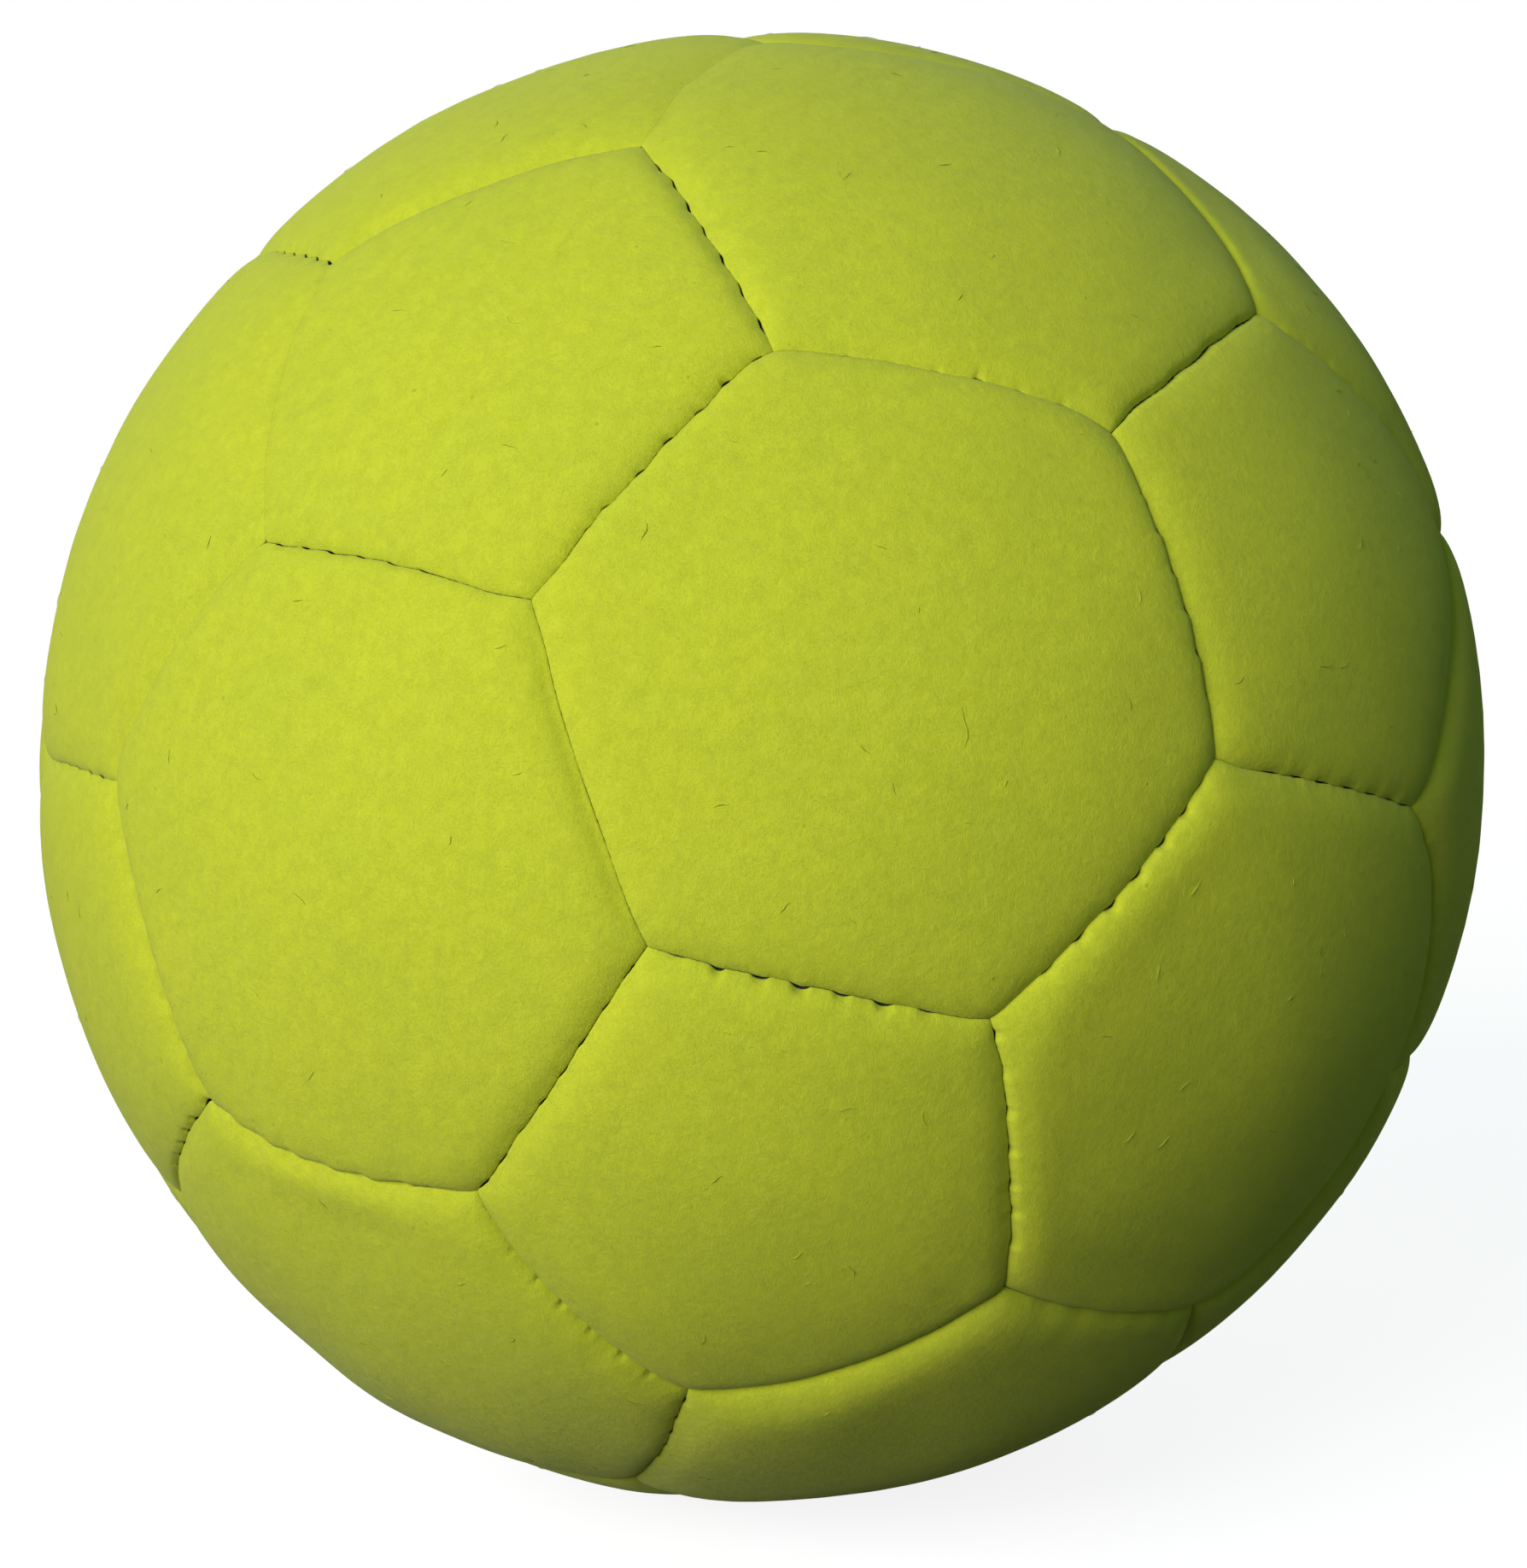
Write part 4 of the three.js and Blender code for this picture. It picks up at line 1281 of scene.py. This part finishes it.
def rubber_material(name, dark, light, roughness, grain_scale, relief):
    g, place = start_material(name)
    grain = g.noise(place, grain_scale, 3.0, 0.6)
    dust = g.ramp(g.noise(place, 0.7, 4.0, 0.7), 0.55, 0.8, 0.0, 0.35)
    colour = g.mix(g.ramp(g.noise(place, 0.12, 3.0, 0.6), 0.3, 0.7), dark, light)
    colour = g.mix(dust, colour, rgb(0.16, 0.16, 0.155))
    rough = g.ramp(grain, 0.2, 0.8, roughness - 0.08, roughness + 0.1)
    return g.finish(
        Base_Color=colour, Roughness=rough, Specular_IOR_Level=0.4, Normal=g.bump(grain, relief, 0.8),
    )


def fibre_material():
    g, place = start_material("loose_fibre")
    shade = g.ramp(g.noise(place, 0.5, 1.0), 0.35, 0.65)
    colour = g.mix(shade, rgb(0.30, 0.33, 0.03), rgb(0.62, 0.70, 0.07))
    return g.finish(Base_Color=colour, Roughness=0.8, Specular_IOR_Level=0.2)


# ---- light, floor and camera ----

WHITE_NEAR, WHITE_FAR = 0.30, 0.75     # metres over which the floor goes over to plain white
FLOOR_REACH = 6000


def place_facing(name, data, direction, distance):
    """Puts a light or a camera at this distance in metres, turned to the ball's centre."""
    made = bpy.data.objects.new(name, data)
    made.location = Vector(direction * distance)
    made.rotation_mode = "QUATERNION"
    made.rotation_quaternion = Vector(direction).to_track_quat("Z", "Y")
    bpy.context.scene.collection.objects.link(made)
    return made


def softbox(name, direction, distance, size, power, colour):
    light = bpy.data.lights.new(name, "AREA")
    light.shape = "DISK"
    light.size = size
    light.energy = power
    light.color = colour
    place_facing(name, light, unit(direction), distance)


def seen_directly(g):
    path = g.node("ShaderNodeLightPath").outputs
    seen = g.math("MAXIMUM", path["Is Camera Ray"], path["Is Glossy Ray"])
    return g.math("MAXIMUM", seen, path["Is Transmission Ray"])


def add_floor(height):
    """A pale floor that shows white, apart from the soft shadow of the ball."""
    g = Graph(bpy.data.materials.new("studio_floor"))
    place = g.place()
    away = g.node("ShaderNodeVectorMath", {0: place}, operation="LENGTH").outputs["Value"]
    paper = g.lit("ShaderNodeBsdfDiffuse", g.mix(g.noise(place, 30.0, 3.0), grey(0.36), grey(0.38)))
    plain = g.lit("ShaderNodeBsdfDiffuse", grey(0.08))
    glow = g.lit("ShaderNodeEmission", grey(1.0), 0.86)
    white = g.lit("ShaderNodeEmission", grey(1.0), 1.0)
    near = g.node("ShaderNodeAddShader", {0: paper, 1: glow}).outputs[0]
    shown = g.mixed_shaders(g.ramp(away, WHITE_NEAR, WHITE_FAR), near, white)
    surface = g.mixed_shaders(seen_directly(g), plain, shown)
    g.node("ShaderNodeOutputMaterial", {"Surface": surface})
    corners = [(x * FLOOR_REACH, y * FLOOR_REACH, 0) for x, y in ((-1, -1), (1, -1), (1, 1), (-1, 1))]
    floor = mesh_object("floor", corners, [(0, 1, 2, 3)], [g.owner])
    floor.location.z = height


def add_surroundings():
    world = bpy.data.worlds.new("studio")
    bpy.context.scene.world = world
    g = Graph(world)
    dim = g.lit("ShaderNodeBackground", rgb(0.57, 1.0, 1.0), 0.15)
    white = g.lit("ShaderNodeBackground", grey(1.0), 1.0)
    g.node("ShaderNodeOutputWorld", {"Surface": g.mixed_shaders(seen_directly(g), dim, white)})


def add_lights():
    key = -0.505 * RIGHT + 0.262 * UP + 0.805 * BACK
    rear = -0.35 * RIGHT + 0.42 * UP - 0.84 * BACK
    softbox("key_softbox", key, 2.2, 1.3, 41.8, (1.0, 1.0, 1.0))
    softbox("rear_softbox", rear, 2.4, 1.6, 13, (0.95, 0.98, 1.0))


def add_camera():
    data = bpy.data.cameras.new("camera")
    data.sensor_width = 36
    data.lens = CAMERA_LENS
    data.shift_x, data.shift_y = CAMERA_SHIFT
    data.clip_start, data.clip_end = 0.02, 30
    bpy.context.scene.camera = place_facing("camera", data, BACK, CAMERA_DISTANCE * MM)


def lowest_point(pieces):
    return min(vertex.co.z for piece in pieces for vertex in piece.data.vertices)


bpy.context.scene.view_settings.view_transform = "Standard"
add_camera()
felt, backing = felt_material(), backing_material()
covers = [panel_object(panel, [felt, backing]) for panel in PANELS]
waxed = thread_material()
for number in range(12):
    thread_object(number, waxed)
add_bladder(rubber_material(
    "bladder_butyl", rgb(0.018, 0.018, 0.019), rgb(0.032, 0.032, 0.033), 0.55, 1.4, 0.00006))
add_valve(
    rubber_material(
        "moulded_valve", rgb(0.014, 0.014, 0.015), rgb(0.024, 0.024, 0.025), 0.45, 3.0, 0.00003),
    rubber_material(
        "moulded_plug", rgb(0.040, 0.040, 0.042), rgb(0.060, 0.060, 0.062), 0.5, 3.0, 0.00003),
    patch_material(),
)
add_fibres(fibre_material())
add_floor(lowest_point(covers))
add_surroundings()
add_lights()
